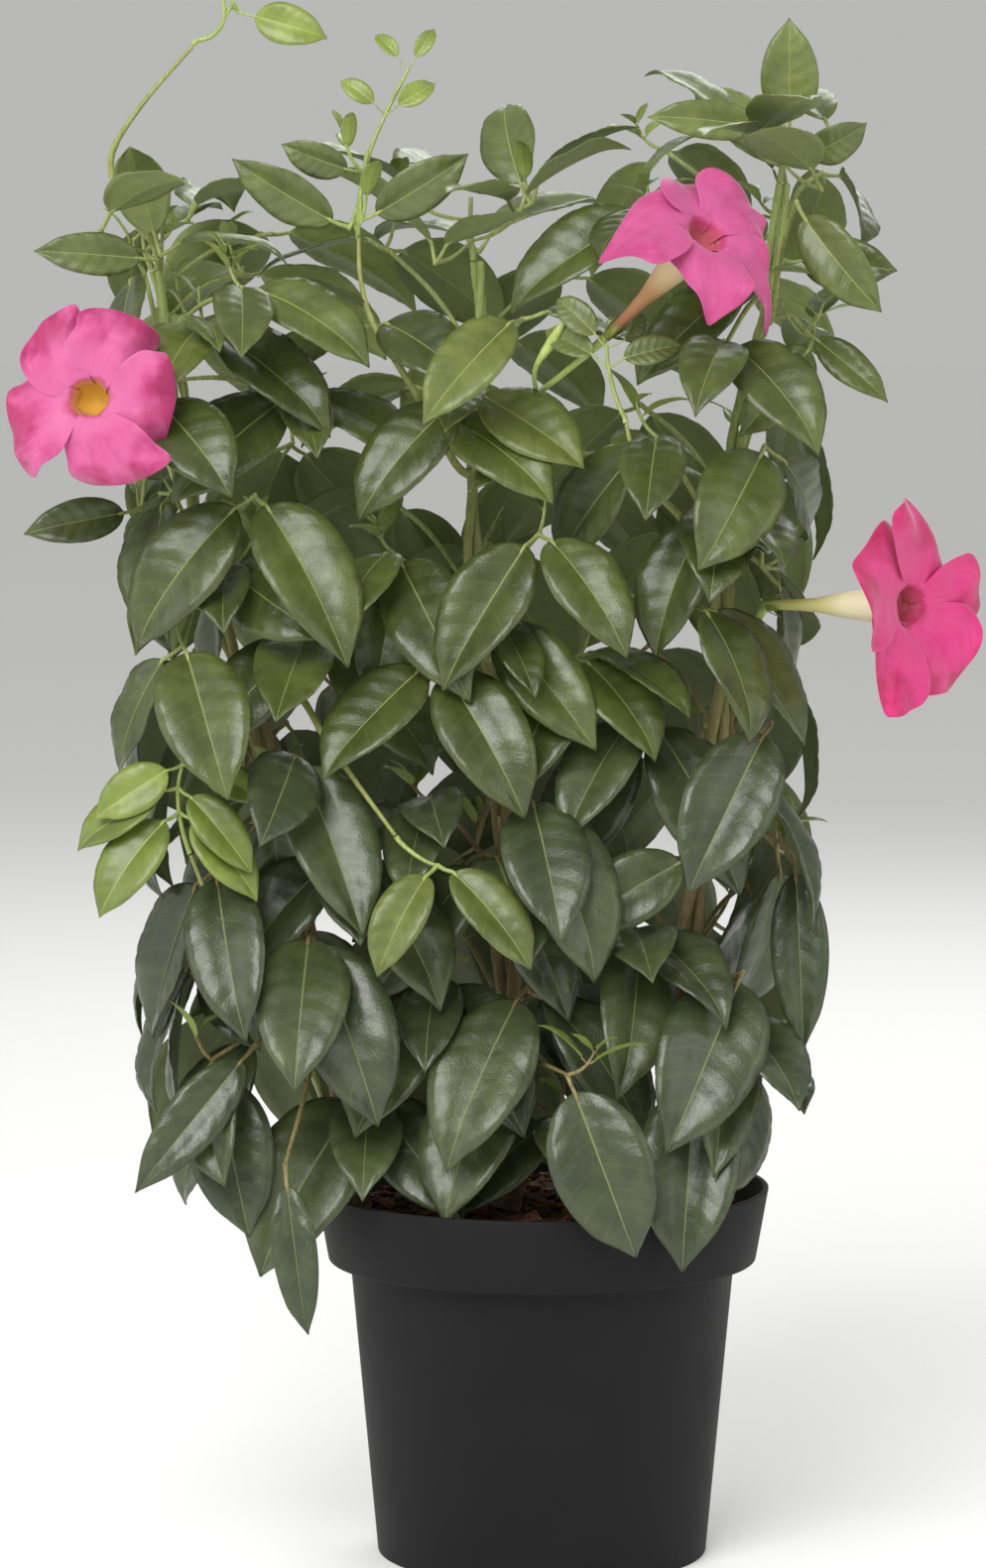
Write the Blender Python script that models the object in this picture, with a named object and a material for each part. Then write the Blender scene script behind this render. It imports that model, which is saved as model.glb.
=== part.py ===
"""A potted mandevilla: a twining shrub with large glossy leaves and pink trumpet flowers, in a growers' pot.

Metres, +Z up. The origin is the centre of the pot's underside, and the plant's front faces -Y.
Three pairs of stems twine up from the potting mix in a fan. Masses of hanging leaves stand in front of
each pair and behind it, and a looser mass crowns each pair. A few side shoots carry young leaves, and
three flowers stand out on their own stalks. The leaves are dealt out by a seeded rule. One that would
leave the crown's outline or touch anything already grown is turned, and stays out if it finds no room.
"""

import math
import random

import bmesh
import bpy
from mathutils import Matrix, Vector
from mathutils.bvhtree import BVHTree

UP = Vector((0, 0, 1))
MM = 0.001
CLEAR = 0.3 * MM  # gap between pieces that touch on the real plant
JOINT_CLEAR = 0.55 * MM  # the same between a stem's axis side and the middle of a twig's flat root

# The pot: a 19 cm growers' pot with a deep flange
RIM_RADIUS = 95 * MM
POT_HEIGHT = 155 * MM
FLANGE_HEIGHT = 31 * MM
FLANGE_FOOT_RADIUS = 89.5 * MM
BODY_TOP_RADIUS = 80.5 * MM
FOOT_RADIUS = 69 * MM
WALL = 2.2 * MM
LIP = 2.5 * MM
POT_SIDES = 32
MIX_TOP = POT_HEIGHT - 12 * MM  # the level of the potting mix

# The stems: where each pair leaves the mix and where it ends
STEMS = {
    "left": (Vector((-0.077, 0.002, MIX_TOP)), Vector((-0.160, 0.0, 0.536))),
    "middle": (Vector((-0.014, 0.006, MIX_TOP)), Vector((-0.027, 0.0, 0.540))),
    "right": (Vector((0.045, 0.002, MIX_TOP)), Vector((0.099, 0.0, 0.572))),
}
STRANDS = 2
STEM_FOOT_RADIUS = 3.3 * MM
STEM_TIP_RADIUS = 1.5 * MM
ROOT_FLARE = 1.6  # how much wider the foot of a stem is
TWIST_PITCH = 0.150
STEM_STEP = 0.0215
STEM_SIDES = 5
STRAND_GAP = 0.9 * MM

# The crown's outline, seen from the front: height, left edge, right edge
CROWN = (
    (0.100, -0.112, 0.055),
    (0.140, -0.150, 0.086),
    (0.165, -0.168, 0.096),
    (0.200, -0.170, 0.112),
    (0.300, -0.172, 0.117),
    (0.400, -0.182, 0.116),
    (0.480, -0.180, 0.124),
    (0.540, -0.188, 0.142),
    (0.585, -0.172, 0.136),
    (0.640, -0.130, 0.118),
)
CROWN_DEPTH = 0.112  # how far the crown reaches in front of the stems and behind them

# The foliage: tiers of masses up each stem, from the pot's rim to the top
TIERS = {
    # share of the stem's height, leaf length, degrees below level, degrees of swing to either side
    "foot": (0.15, 0.078, 64, 22),
    "low": (0.38, 0.079, 74, 24),
    "mid": (0.62, 0.073, 68, 28),
    "high": (0.86, 0.063, 50, 40),
}
TIER_SHIFT = {"left": 0.010, "middle": -0.012, "right": 0.004}  # so that the tiers don't line up
TOP_LEAF = (0.054, -24, 32)
LEAF_ASPECT = 0.56  # width over length
LEAN = {"left": -14, "middle": 0, "right": 14}  # degrees that the outer masses turn outwards
SHOOT_REACH = (0.034, 0.054)  # how far shoots stand out from the stem
ROWS = (0.036, -0.016, 0.010)  # how far above the stem's joint the shoots end, in turn
FRONT_SHOOTS = 5
BACK_SHOOTS = 4
TOP_SHOOTS = 5
STALK_LENGTH = 0.011
TWIG_RADIUS = 1.9 * MM
SHOOT_RADIUS = 1.4 * MM
TWIG_SIDES = 3
TRIES = 16
ROOM = 0.45 * MM  # half of the least gap kept between leaves

# The side shoots: the stem and the height they leave it at, and the points they pass
BOUGHS = {
    "vine": ("left", None, ((-0.1745, -0.004, 0.566), (-0.1750, -0.006, 0.590), (-0.1440, -0.004, 0.628))),
    "thin": ("middle", 0.455, ((-0.052, -0.030, 0.486), (-0.072, -0.028, 0.520), (-0.0755, -0.024, 0.549))),
    "young": ("left", 0.186, ((-0.1010, -0.052, 0.222), (-0.1270, -0.062, 0.262), (-0.1430, -0.064, 0.300))),
    "slant": ("left", 0.372, ((-0.1020, -0.040, 0.366), (-0.0860, -0.066, 0.344), (-0.0600, -0.074, 0.309))),
    "fresh": ("right", 0.420, ((0.0560, -0.040, 0.436), (0.0400, -0.060, 0.452), (0.0330, -0.062, 0.474))),
}
BOUGH_RADIUS = 1.9 * MM
BOUGH_TIP_RADIUS = 1.3 * MM

# The twig at the end of each side shoot, how many pairs of leaves it bears, their length, and the
# degrees that they swing up from hanging
LEADERS = {
    "vine": (((-0.1330, -0.005, 0.634), (-0.1310, -0.006, 0.646), (-0.1370, -0.006, 0.661)), 1, 0.016, 150),
    "thin": (((-0.0735, -0.024, 0.575), (-0.0660, -0.022, 0.596), (-0.0550, -0.020, 0.618)), 2, 0.020, 140),
    "young": (((-0.1470, -0.066, 0.314), (-0.1480, -0.066, 0.326), (-0.1460, -0.066, 0.338)), 3, 0.044, 62),
    "slant": (((-0.0540, -0.077, 0.303), (-0.0480, -0.078, 0.299), (-0.0420, -0.079, 0.297)), 1, 0.062, 26),
    "fresh": (((0.0290, -0.064, 0.484), (0.0260, -0.064, 0.496), (0.0250, -0.064, 0.506)), 2, 0.030, 130),
}
LEADER_DROOP = 66

# Single leaves that the outline turns on: the blade's base, its tip, and its width over its length
MARKED_LEAVES = {
    "left_top": [((-0.1650, -0.020, 0.5410), (-0.2080, -0.030, 0.5440), 0.42)],
    "left_high_front": [((-0.1720, -0.024, 0.4370), (-0.2130, -0.034, 0.4290), 0.50)],
    "vine": [((-0.1180, -0.006, 0.6400), (-0.0880, -0.010, 0.6310), 0.58)],
    "thin": [
        ((-0.0860, -0.030, 0.5560), (-0.1270, -0.034, 0.5810), 0.46),
        ((-0.0680, -0.030, 0.5590), (-0.0300, -0.034, 0.5830), 0.50),
        ((-0.0800, -0.028, 0.5770), (-0.1070, -0.032, 0.5870), 0.56),
    ],
    "right_top": [
        ((0.1020, 0.006, 0.5980), (0.1010, -0.002, 0.6400), 0.66),
        ((0.0880, -0.014, 0.5950), (0.0420, -0.024, 0.5990), 0.42),
        ((0.1090, -0.010, 0.5830), (0.1330, -0.016, 0.5960), 0.62),
    ],
    "right_high_front": [
        ((0.1060, -0.024, 0.5400), (0.1440, -0.036, 0.5360), 0.62),
        ((0.1120, -0.020, 0.5080), (0.1410, -0.032, 0.4830), 0.40),
    ],
    "right_low_front": [((0.1040, -0.030, 0.2890), (0.1070, -0.040, 0.2160), 0.34)],
    "left_foot_front": [
        ((-0.1220, -0.066, 0.2170), (-0.1660, -0.082, 0.1640), 0.36),
        ((-0.1060, -0.104, 0.1700), (-0.0980, -0.108, 0.1080), 0.34),
    ],
    "middle_foot_front": [((0.0120, -0.098, 0.2080), (0.0370, -0.108, 0.1410), 0.66)],
}

# The flowers: the middle of the mouth, the way it faces, the way its tube comes up to it, its stem, the
# height its stalk leaves at, and its petals' turn, reach, half width over reach, bend backwards, and how far
# their tips lie off to one side
FLOWERS = {
    "left": {
        "mouth": Vector((-0.182, -0.082, 0.485)),
        "faces": Vector((-0.24, -0.96, 0.10)),
        "tube": Vector((-0.36, -0.92, 0.10)),
        "stem": "left",
        "height": 0.450,
        "turn": -26,
        "reach": 0.035,
        "spread": 0.60,
        "reflex": 0.10,
        "hook": 0.14,
    },
    "upper": {
        "mouth": Vector((0.065, -0.086, 0.551)),
        "faces": Vector((0.52, -0.62, 0.58)),
        "tube": Vector((0.66, -0.33, 0.68)),
        "stem": "middle",
        "height": 0.474,
        "turn": 8,
        "reach": 0.040,
        "spread": 0.50,
        "reflex": 0.80,
        "hook": 0.32,
    },
    "right": {
        "mouth": Vector((0.148, -0.064, 0.401)),
        "faces": Vector((0.78, -0.62, 0.02)),
        "tube": Vector((0.96, -0.28, 0.01)),
        "stem": "right",
        "height": 0.380,
        "turn": 36,
        "reach": 0.044,
        "spread": 0.56,
        "reflex": -0.20,
        "hook": 0.32,
    },
}
FUNNEL_LENGTH = 0.063
THROAT_RADIUS = 8.5 * MM
PETAL_THICKNESS = 1.0 * MM
FLOWER_SIDES = 6
FLOWER_STALK_RADIUS = 1.3 * MM


def smooth_path(knots, count):
    """Points on a smooth curve through the knots, evenly shared between them."""
    ends = [knots[0] * 2 - knots[1], *knots, knots[-1] * 2 - knots[-2]]
    points = []
    for i in range(count):
        where = i / (count - 1) * (len(knots) - 1)
        k = min(int(where), len(knots) - 2)
        t = where - k
        a, b, c, d = ends[k : k + 4]
        points.append(
            0.5 * (2 * b + (c - a) * t + (2 * a - 5 * b + 4 * c - d) * t**2 + (3 * b - a - 3 * c + d) * t**3)
        )
    return points


def heading(azimuth, droop=0.0):
    """The direction at an azimuth, in degrees from the front towards the right, and so far below level."""
    a, d = math.radians(azimuth), math.radians(droop)
    return Vector((math.sin(a) * math.cos(d), -math.cos(a) * math.cos(d), -math.sin(d)))


def loft(rings, tip=None):
    """A closed body through rings of equally many points, with flat ends, or a point at its far end."""
    size = len(rings[0])
    points = [p for ring in rings for p in ring]
    faces = [tuple(reversed(range(size)))]
    for r in range(len(rings) - 1):
        for i in range(size):
            j = (i + 1) % size
            faces.append((r * size + i, r * size + j, (r + 1) * size + j, (r + 1) * size + i))
    last = (len(rings) - 1) * size
    if tip is None:
        faces.append(tuple(range(last, last + size)))
    else:
        points.append(tip)
        faces += [(last + i, last + (i + 1) % size, len(points) - 1) for i in range(size)]
    return points, faces


def limb_rings(points, radii, sides):
    """The rings of a round limb along the points, which don't twist."""
    rings = []
    across = (points[1] - points[0]).orthogonal().normalized()
    for i, point in enumerate(points):
        along = (points[min(i + 1, len(points) - 1)] - points[max(i - 1, 0)]).normalized()
        across = (across - along * across.dot(along)).normalized()
        other = along.cross(across)
        rings.append(
            [
                point + (across * math.cos(a) + other * math.sin(a)) * radii[i]
                for a in (2 * math.pi * s / sides for s in range(sides))
            ]
        )
    return rings


def limb(points, radii, sides):
    return loft(limb_rings(points, radii, sides))


def turned(profile, sides):
    """A profile of (radius, height) that starts and ends on the axis, spun round Z."""
    shape = bmesh.new()
    line = [shape.verts.new((radius, 0, height)) for radius, height in profile]
    edges = [shape.edges.new(pair) for pair in zip(line, line[1:])]
    bmesh.ops.spin(
        shape, geom=line + edges, cent=(0, 0, 0), axis=(0, 0, 1), angle=2 * math.pi, steps=sides, use_merge=True
    )
    bmesh.ops.remove_doubles(shape, verts=shape.verts, dist=0.01 * MM)
    bmesh.ops.recalc_face_normals(shape, faces=shape.faces)
    shape.verts.ensure_lookup_table()
    shape.verts.index_update()
    body = [v.co.copy() for v in shape.verts], [tuple(v.index for v in f.verts) for f in shape.faces]
    shape.free()
    return body


class Space:
    """What has grown so far, to keep what grows next clear of it."""

    def __init__(self):
        self.bodies = []

    @staticmethod
    def measure(body):
        points, faces = body
        low = Vector([min(p[i] for p in points) for i in range(3)])
        high = Vector([max(p[i] for p in points) for i in range(3)])
        return BVHTree.FromPolygons(points, faces), low, high

    def add(self, body, owner=None):
        self.bodies.append((*self.measure(body), owner))

    def is_clear(self, body, owner=None):
        """Whether the body touches nothing, apart from what its own mass owns."""
        tree, low, high = self.measure(body)
        for other, other_low, other_high, other_owner in self.bodies:
            if owner is not None and other_owner == owner:
                continue
            apart = any(low[i] > other_high[i] or high[i] < other_low[i] for i in range(3))
            if not apart and tree.overlap(other):
                return False
        return True


def crown_edges(height):
    """The crown's left and right edges at a height."""
    for (z0, left0, right0), (z1, left1, right1) in zip(CROWN, CROWN[1:]):
        if z0 <= height <= z1:
            t = (height - z0) / (z1 - z0)
            return left0 + (left1 - left0) * t, right0 + (right1 - right0) * t
    return (0.0, 0.0)


def is_in_crown(point):
    left, right = crown_edges(point.z)
    return left <= point.x <= right and abs(point.y) <= CROWN_DEPTH


class Leaf:
    """A leaf on its stalk: its stalk's root, the blade's base, lie and size, and how it bends and folds."""

    def __init__(self, root, base, along, face, length, width, bend, fold, tone):
        self.root, self.base, self.along, self.face = root, base, along, face
        self.length, self.width, self.bend, self.fold, self.tone = length, width, bend, fold, tone
        self.side = along.cross(face).normalized()
        self.thickness = max(0.9 * MM, length / 90)

    def midrib(self, t):
        """The point a share t along the midrib, and the way the upper side faces there."""
        half = self.bend / 2
        angle = self.bend * t - half
        ahead = (math.sin(angle) + math.sin(half)) / self.bend
        out = (math.cos(angle) - math.cos(half)) / self.bend
        point = self.base + (self.along * ahead + self.face * out) * self.length
        return point, self.face * math.cos(angle) + self.along * math.sin(angle)

    def half_width(self, t):
        """An oval that is widest before its middle and drawn out to a short point."""
        oval = (t / 0.43) ** 0.62 * ((1 - t) / 0.57) ** 0.85
        return self.width / 2 * oval * (1 - 0.45 * max(0.0, (t - 0.78) / 0.22) ** 1.5)

    def ring(self, t, more=0.0):
        """Both edges, lifted by the fold, and the keel under the midrib."""
        point, face = self.midrib(t)
        half = self.half_width(t)
        edge, lift = half * math.cos(self.fold) + more, half * math.sin(self.fold) + more
        keel = self.thickness + more
        return [point - self.side * edge + face * lift, point + self.side * edge + face * lift, point - face * keel]

    def stalk_ring(self, share, radius):
        way = (self.base - self.root).normalized()
        across = (self.side - way * self.side.dot(way)).normalized() * radius * 0.87
        upper = across.cross(way).normalized() * radius
        point = self.root.lerp(self.base, share)
        return [point - across + upper / 2, point + across + upper / 2, point - upper]

    def blade_rings(self):
        return [self.stalk_ring(1, 1.2 * MM), self.ring(0.30), self.ring(0.70)]

    def solid(self):
        return loft([self.stalk_ring(0, 0.8 * MM)] + self.blade_rings(), self.midrib(1.0)[0])

    def blade_room(self):
        rings = [self.stalk_ring(0.8, 1.3 * MM), self.stalk_ring(1, 1.2 * MM + ROOM)]
        rings += [self.ring(0.30, ROOM), self.ring(0.70, ROOM)]
        return loft(rings, self.midrib(1.0)[0] + self.along * ROOM)

    def stalk_room(self):
        return loft([self.stalk_ring(0.05, 0.8 * MM + ROOM), self.stalk_ring(1, 1.2 * MM + ROOM)])

    def is_in_crown(self):
        return all(is_in_crown(p) for p in [self.midrib(1.0)[0]] + self.ring(0.45))


class Mass:
    """Twigs that branch from one stem by a seeded rule, and the leaves on them."""

    def __init__(self, name, hub, radius, space):
        self.name = name
        self.hub = hub
        self.twigs, self.leaves = [], []
        self.dice = random.Random(name)
        self.space = space
        self.add_twig(hub, [radius * (1 - 0.4 * i / (len(hub) - 1)) for i in range(len(hub))])

    def between(self, low, high):
        return low + (high - low) * self.dice.random()

    def add_twig(self, points, radii):
        self.twigs.append((points, radii))
        self.space.add(limb(points, [r + ROOM for r in radii], TWIG_SIDES), self.name)

    def grow_shoot(self, points, radius):
        """Adds a shoot where nothing is in its way. It starts slim in the heart of its parent."""
        radii = [0.6 * MM] + [radius * (1 - 0.35 * i / (len(points) - 1)) for i in range(1, len(points))]
        if not self.space.is_clear(limb(points, [r + ROOM for r in radii], TWIG_SIDES), self.name):
            return False
        self.add_twig(points, radii)
        return True

    def solids(self):
        """A body for each twig and leaf. The leaf that bends least from a shoot's end grows on from it as one."""
        bodies, done = [], []
        for points, radii in self.twigs:
            ahead = (points[-1] - points[-2]).normalized()
            here = [leaf for leaf in self.leaves if (leaf.root - points[-1]).length < 1.6 * MM and leaf not in done]
            here.sort(key=lambda leaf: -(leaf.base - points[-1]).normalized().dot(ahead))
            if not here or (here[0].base - points[-1]).normalized().dot(ahead) < 0.35:
                bodies.append(limb(points, radii, TWIG_SIDES))
                continue
            leaf = here[0]
            done.append(leaf)
            rings = limb_rings(points + [leaf.base], radii + [1.2 * MM], TWIG_SIDES)[:-1]
            blade = leaf.blade_rings()
            shift = min(range(3), key=lambda k: sum((rings[-1][i] - blade[0][(i + k) % 3]).length for i in range(3)))
            rings += [ring[shift:] + ring[:shift] for ring in blade]
            bodies.append(loft(rings, leaf.midrib(1.0)[0]))
        return bodies + [leaf.solid() for leaf in self.leaves if leaf not in done]

    def add_leaf(self, leaf):
        if not self.space.is_clear(leaf.blade_room()) or not self.space.is_clear(leaf.stalk_room(), self.name):
            return False
        self.space.add(leaf.blade_room())
        self.space.add(leaf.stalk_room(), self.name)
        self.leaves.append(leaf)
        return True

    def grow_leaf(self, shoot, azimuth, droop, swing, length, tone, free=False):
        """Adds a leaf at a shoot's end, turned and lifted in turn until it has room."""
        root = shoot[-1] + (shoot[-2] - shoot[-1]).normalized() * self.between(0.9, 1.5) * MM
        for attempt in range(TRIES):
            slack = 1 + attempt * 0.35
            turned_to = azimuth + self.between(-10, 10) * slack
            hangs = droop + self.between(-8, 8) * slack
            swung = math.radians(swing + self.between(-8, 8) * slack)
            size = length * self.between(0.86, 1.10) * (1 - 0.015 * attempt)
            bend = math.radians(self.between(16, 46))
            fold = math.radians(self.between(5, 20))
            wide = LEAF_ASPECT * self.between(0.90, 1.10)
            along = heading(turned_to, hangs)
            face = heading(turned_to, hangs - 90)
            along = Matrix.Rotation(swung, 3, face) @ along
            stalk = STALK_LENGTH * (0.6 + 0.4 * length / 0.080)
            base = root + (along + face * 0.9).normalized() * stalk
            leaf = Leaf(root, base, along, face, size, size * wide, bend, fold, tone)
            if (free or leaf.is_in_crown()) and self.add_leaf(leaf):
                return True
        return False

    def grow_marked_leaves(self, place, tone):
        """Adds the single leaves that the outline turns on, each on its own shoot from the hub."""
        for base, tip, wide in MARKED_LEAVES.get(place, ()):
            base, tip = Vector(base), Vector(tip)
            along = (tip - base).normalized()
            face = Vector((0, -1, 0.15 if along.z < 0.3 else -0.35))
            face = (face - along * face.dot(along)).normalized()
            near = min(self.hub[1:-1], key=lambda p: (p - base).length)
            root = base - (along * 0.8 + face * 0.2).normalized() * STALK_LENGTH * 0.7
            length = (tip - base).length
            for attempt in range(TRIES):
                nudge = Vector([self.between(-1, 1) * 0.0015 * attempt for _ in range(3)])
                shoot = smooth_path([near, near.lerp(root + nudge, 0.5) + UP * 0.004 + nudge, root + nudge], 3)
                start = root + nudge + (shoot[-2] - shoot[-1]).normalized() * 1.3 * MM
                bend = math.radians(self.between(16, 34))
                leaf = Leaf(start, base + nudge, along, face, length, length * wide, bend, 0.2, tone)
                if self.space.is_clear(leaf.blade_room()) and self.grow_shoot(shoot, 1.2 * MM):
                    if not self.add_leaf(leaf):
                        self.grow_leaf(shoot, 0, 40, 0, length, tone)
                    break


def stem_axis(stem, share):
    """The middle line of a pair of stems, with a slight sway."""
    foot, head = STEMS[stem]
    sway = 0.004 * math.sin(share * 2 * math.pi) + 0.002 * math.sin(share * 5 * math.pi)
    return foot.lerp(head, share) + Vector((sway, 0.5 * sway, 0))


def axis_at(stem, height):
    foot, head = STEMS[stem]
    return stem_axis(stem, (height - foot.z) / (head.z - foot.z))


def strand_path(stem, strand):
    """The points and radii of one of the two stems that twine round each other."""
    foot, head = STEMS[stem]
    rise = head.z - foot.z
    steps = round(rise / STEM_STEP)
    points, radii = [], []
    for i in range(steps + 1):
        share = i / steps
        flare = 1 + (ROOT_FLARE - 1) * max(0.0, 1 - share / 0.05) ** 2
        radius = (STEM_FOOT_RADIUS + (STEM_TIP_RADIUS - STEM_FOOT_RADIUS) * share) * flare
        turn = 2 * math.pi * (share * rise / TWIST_PITCH + strand / STRANDS)
        points.append(stem_axis(stem, share) + heading(math.degrees(turn)) * (radius + STRAND_GAP / 2))
        radii.append(radius)
    return points, radii


def strand_body(stem, strand):
    """The stem as a body, cut flat just above the potting mix."""
    rings = limb_rings(*strand_path(stem, strand), STEM_SIDES)
    for point in rings[0]:
        point.z = MIX_TOP + CLEAR
    return loft(rings)


def limb_at(stem, height, azimuth):
    """The strand that lies furthest out at this height and azimuth: its axis there and its radius."""
    best = None
    for strand in range(STRANDS):
        points, radii = strand_path(stem, strand)
        i = next(k for k in range(1, len(points)) if points[k].z >= height or k == len(points) - 1)
        t = min(1.0, (height - points[i - 1].z) / (points[i].z - points[i - 1].z))
        axis = points[i - 1].lerp(points[i], t)
        out = (axis - axis_at(stem, height)).dot(heading(azimuth))
        if best is None or out > best[0]:
            best = (out, axis, radii[i])
    return best[1], best[2]


def side_hub(stem, tier, front):
    """The first twig of a mass, which leaves the stem level and then rises beside it."""
    azimuth = LEAN[stem] if front else 180 - LEAN[stem]
    foot, head = STEMS[stem]
    height = foot.z + (head.z - foot.z) * TIERS[tier][0] + TIER_SHIFT[stem] + (0.0 if front else 0.024)
    out = heading(azimuth)
    axis, radius = limb_at(stem, height, azimuth)
    start = axis + out * (radius + JOINT_CLEAR)
    return smooth_path([start, start + out * 0.010, start + out * 0.018 + UP * 0.014, start + out * 0.020 + UP * 0.030], 4)


def span(stem, height):
    """How far a stem's foliage reaches to its left and its right at a height, up to its neighbours'."""
    left, right = crown_edges(height)
    here = axis_at(stem, height).x
    names = list(STEMS)
    k = names.index(stem)
    if k > 0:
        left = (here + axis_at(names[k - 1], height).x) / 2
    if k < len(names) - 1:
        right = (here + axis_at(names[k + 1], height).x) / 2
    return left - here, right - here


def fill_side_mass(mass, stem, tier, front):
    """Shoots fan out from the hub in staggered rows, and each hangs a pair of leaves."""
    _, length, droop, swing = TIERS[tier]
    azimuth = LEAN[stem] if front else 180 - LEAN[stem]
    out, across = heading(azimuth), Vector((1, 0, 0))
    axis = mass.hub[0] - out * 0.004
    low, high = span(stem, axis.z)
    low = low + (0.020 if stem == "left" else 0.004)
    high = high - (0.020 if stem == "right" else 0.004)
    tone = {"foot": "old", "low": "old", "mid": "full", "high": "fresh"}[tier]
    if front:
        mass.grow_marked_leaves(f"{stem}_{tier}_front", tone)
    count = FRONT_SHOOTS if front else BACK_SHOOTS
    order = sorted(range(count), key=lambda k: mass.dice.random())
    outermost = {"left": 0, "right": count - 1}.get(stem)
    for k in order:
        place = (k + 0.5) / count
        from_twig = mass.hub[1 + k % 2]
        for attempt in range(TRIES):
            slack = 1 + 0.2 * attempt
            lateral = low + (high - low) * place + mass.between(-0.005, 0.005) * slack
            lift = ROWS[k % 3] + mass.between(-0.010, 0.010) * slack
            reach = SHOOT_REACH[(k + attempt) % 2] + mass.between(-0.005, 0.005) * slack
            if k == outermost:
                reach *= 0.55
            end = axis + out * (reach - abs(lateral) * 0.22) + across * lateral + UP * (lift + 0.010)
            middle = from_twig.lerp(end, 0.5) + UP * 0.005
            shoot = smooth_path([from_twig, middle, end], 3)
            if mass.grow_shoot(shoot, SHOOT_RADIUS):
                break
        else:
            continue
        edge = 1.0 if (stem == "left" and lateral < 0) or (stem == "right" and lateral > 0) else 0.5
        outwards = lateral / 0.045 * 42 * edge
        turn = azimuth + (outwards if front else -outwards)
        if k == outermost:
            turn = math.copysign(74 if front else 106, lateral)
        mass.grow_leaf(shoot, turn - 14, droop, -swing, length, tone)
        mass.grow_leaf(shoot, turn + 14, droop, swing, length, tone)
        if front and k % 2 == 0:
            mass.grow_leaf(shoot, turn, droop - 34, mass.between(-12, 12), length * 0.80, tone)


def fill_top_mass(mass, stem):
    """The crown of a stem, whose shoots rise round its tip and hold their leaves out and up."""
    length, droop, swing = TOP_LEAF
    mass.grow_marked_leaves(f"{stem}_top", "fresh")
    for k in range(TOP_SHOOTS):
        azimuth = 360 * (k + 0.5) / TOP_SHOOTS + mass.between(-16, 16)
        from_twig = mass.hub[1 + k % 2]
        for attempt in range(TRIES):
            out = heading(azimuth + mass.between(-10, 10) * attempt)
            end = from_twig + out * mass.between(0.016, 0.034) + UP * mass.between(-0.012, 0.010)
            shoot = smooth_path([from_twig, from_twig.lerp(end, 0.5) - UP * 0.002, end], 3)
            if mass.grow_shoot(shoot, 1.1 * MM):
                break
        else:
            continue
        for way in (-1, 1):
            lie = droop + mass.between(-30, 40)
            mass.grow_leaf(shoot, azimuth + way * 34, lie, way * swing, length, "fresh")


def fill_leader(mass, place):
    """Pairs of young leaves up the end of a side shoot, each pair turned across the one below it."""
    _, pairs, length, swing = LEADERS[place]
    mass.grow_marked_leaves(place, "fresh" if place == "thin" else "young")
    for k in range(pairs):
        at = max(1, len(mass.hub) - 1 - k)
        for way in (-1, 1):
            size = length * (0.66 + 0.34 * min(1.0, k / 2 + 0.3))
            mass.grow_leaf(mass.hub[: at + 1], way * 14, LEADER_DROOP, way * (swing - 18 * k), size, "young", True)


def mesh_object(name, body, material):
    points, faces = body
    shape = bmesh.new()
    verts = [shape.verts.new(p) for p in points]
    for face in faces:
        shape.faces.new([verts[i] for i in face])
    mesh = bpy.data.meshes.new(name)
    shape.to_mesh(mesh)
    shape.free()
    mesh.materials.append(material)
    made = bpy.data.objects.new(name, mesh)
    bpy.context.scene.collection.objects.link(made)
    return made


def tidied(mesh):
    """Drops scraps and the walls of sealed hollows. Returns how many went, and how many edges are open."""
    shape = bmesh.new()
    shape.from_mesh(mesh)
    left, parts = set(shape.faces), []
    while left:
        part, reach = set(), [left.pop()]
        while reach:
            face = reach.pop()
            part.add(face)
            near = {other for edge in face.edges for other in edge.link_faces} & left
            left -= near
            reach += near
        parts.append(part)
    parts.sort(key=len)
    bmesh.ops.delete(shape, geom=[face for part in parts[:-1] for face in part], context="FACES")
    open_edges = sum(1 for edge in shape.edges if len(edge.link_faces) != 2)
    shape.to_mesh(mesh)
    shape.free()
    return len(parts) - 1, open_edges


def joined_mesh(target, others, solver):
    union = target.modifiers.new("Union", "BOOLEAN")
    union.operation = "UNION"
    union.operand_type = "COLLECTION"
    union.collection = others
    union.solver = solver
    graph = bpy.context.evaluated_depsgraph_get()
    mesh = bpy.data.meshes.new_from_object(target.evaluated_get(graph))
    target.modifiers.clear()
    return mesh


def fused(name, bodies, material):
    """One closed solid from bodies that run into each other, joined by one Boolean union."""
    target = mesh_object(name, bodies[0], material)
    others = bpy.data.collections.new(name + "_pieces")
    bpy.context.scene.collection.children.link(others)
    for i, body in enumerate(bodies[1:]):
        piece = mesh_object(f"{name}_piece_{i}", body, material)
        bpy.context.scene.collection.objects.unlink(piece)
        others.objects.link(piece)
    mesh = joined_mesh(target, others, "EXACT")
    dropped, open_edges = tidied(mesh)
    if open_edges:
        mesh = joined_mesh(target, others, "MANIFOLD")
        dropped, open_edges = tidied(mesh)
    target.data = mesh
    print(name, dropped, "dropped", open_edges, "open edges")
    mesh.name = name
    for piece in list(others.objects):
        bpy.data.objects.remove(piece)
    bpy.data.collections.remove(others)
    return target


def plain(name, colour, roughness):
    material = bpy.data.materials.new(name)
    material.use_nodes = True
    shader = material.node_tree.nodes["Principled BSDF"]
    shader.inputs["Base Color"].default_value = (*colour, 1)
    shader.inputs["Roughness"].default_value = roughness
    shader.inputs["Metallic"].default_value = 0.0
    return material


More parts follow.
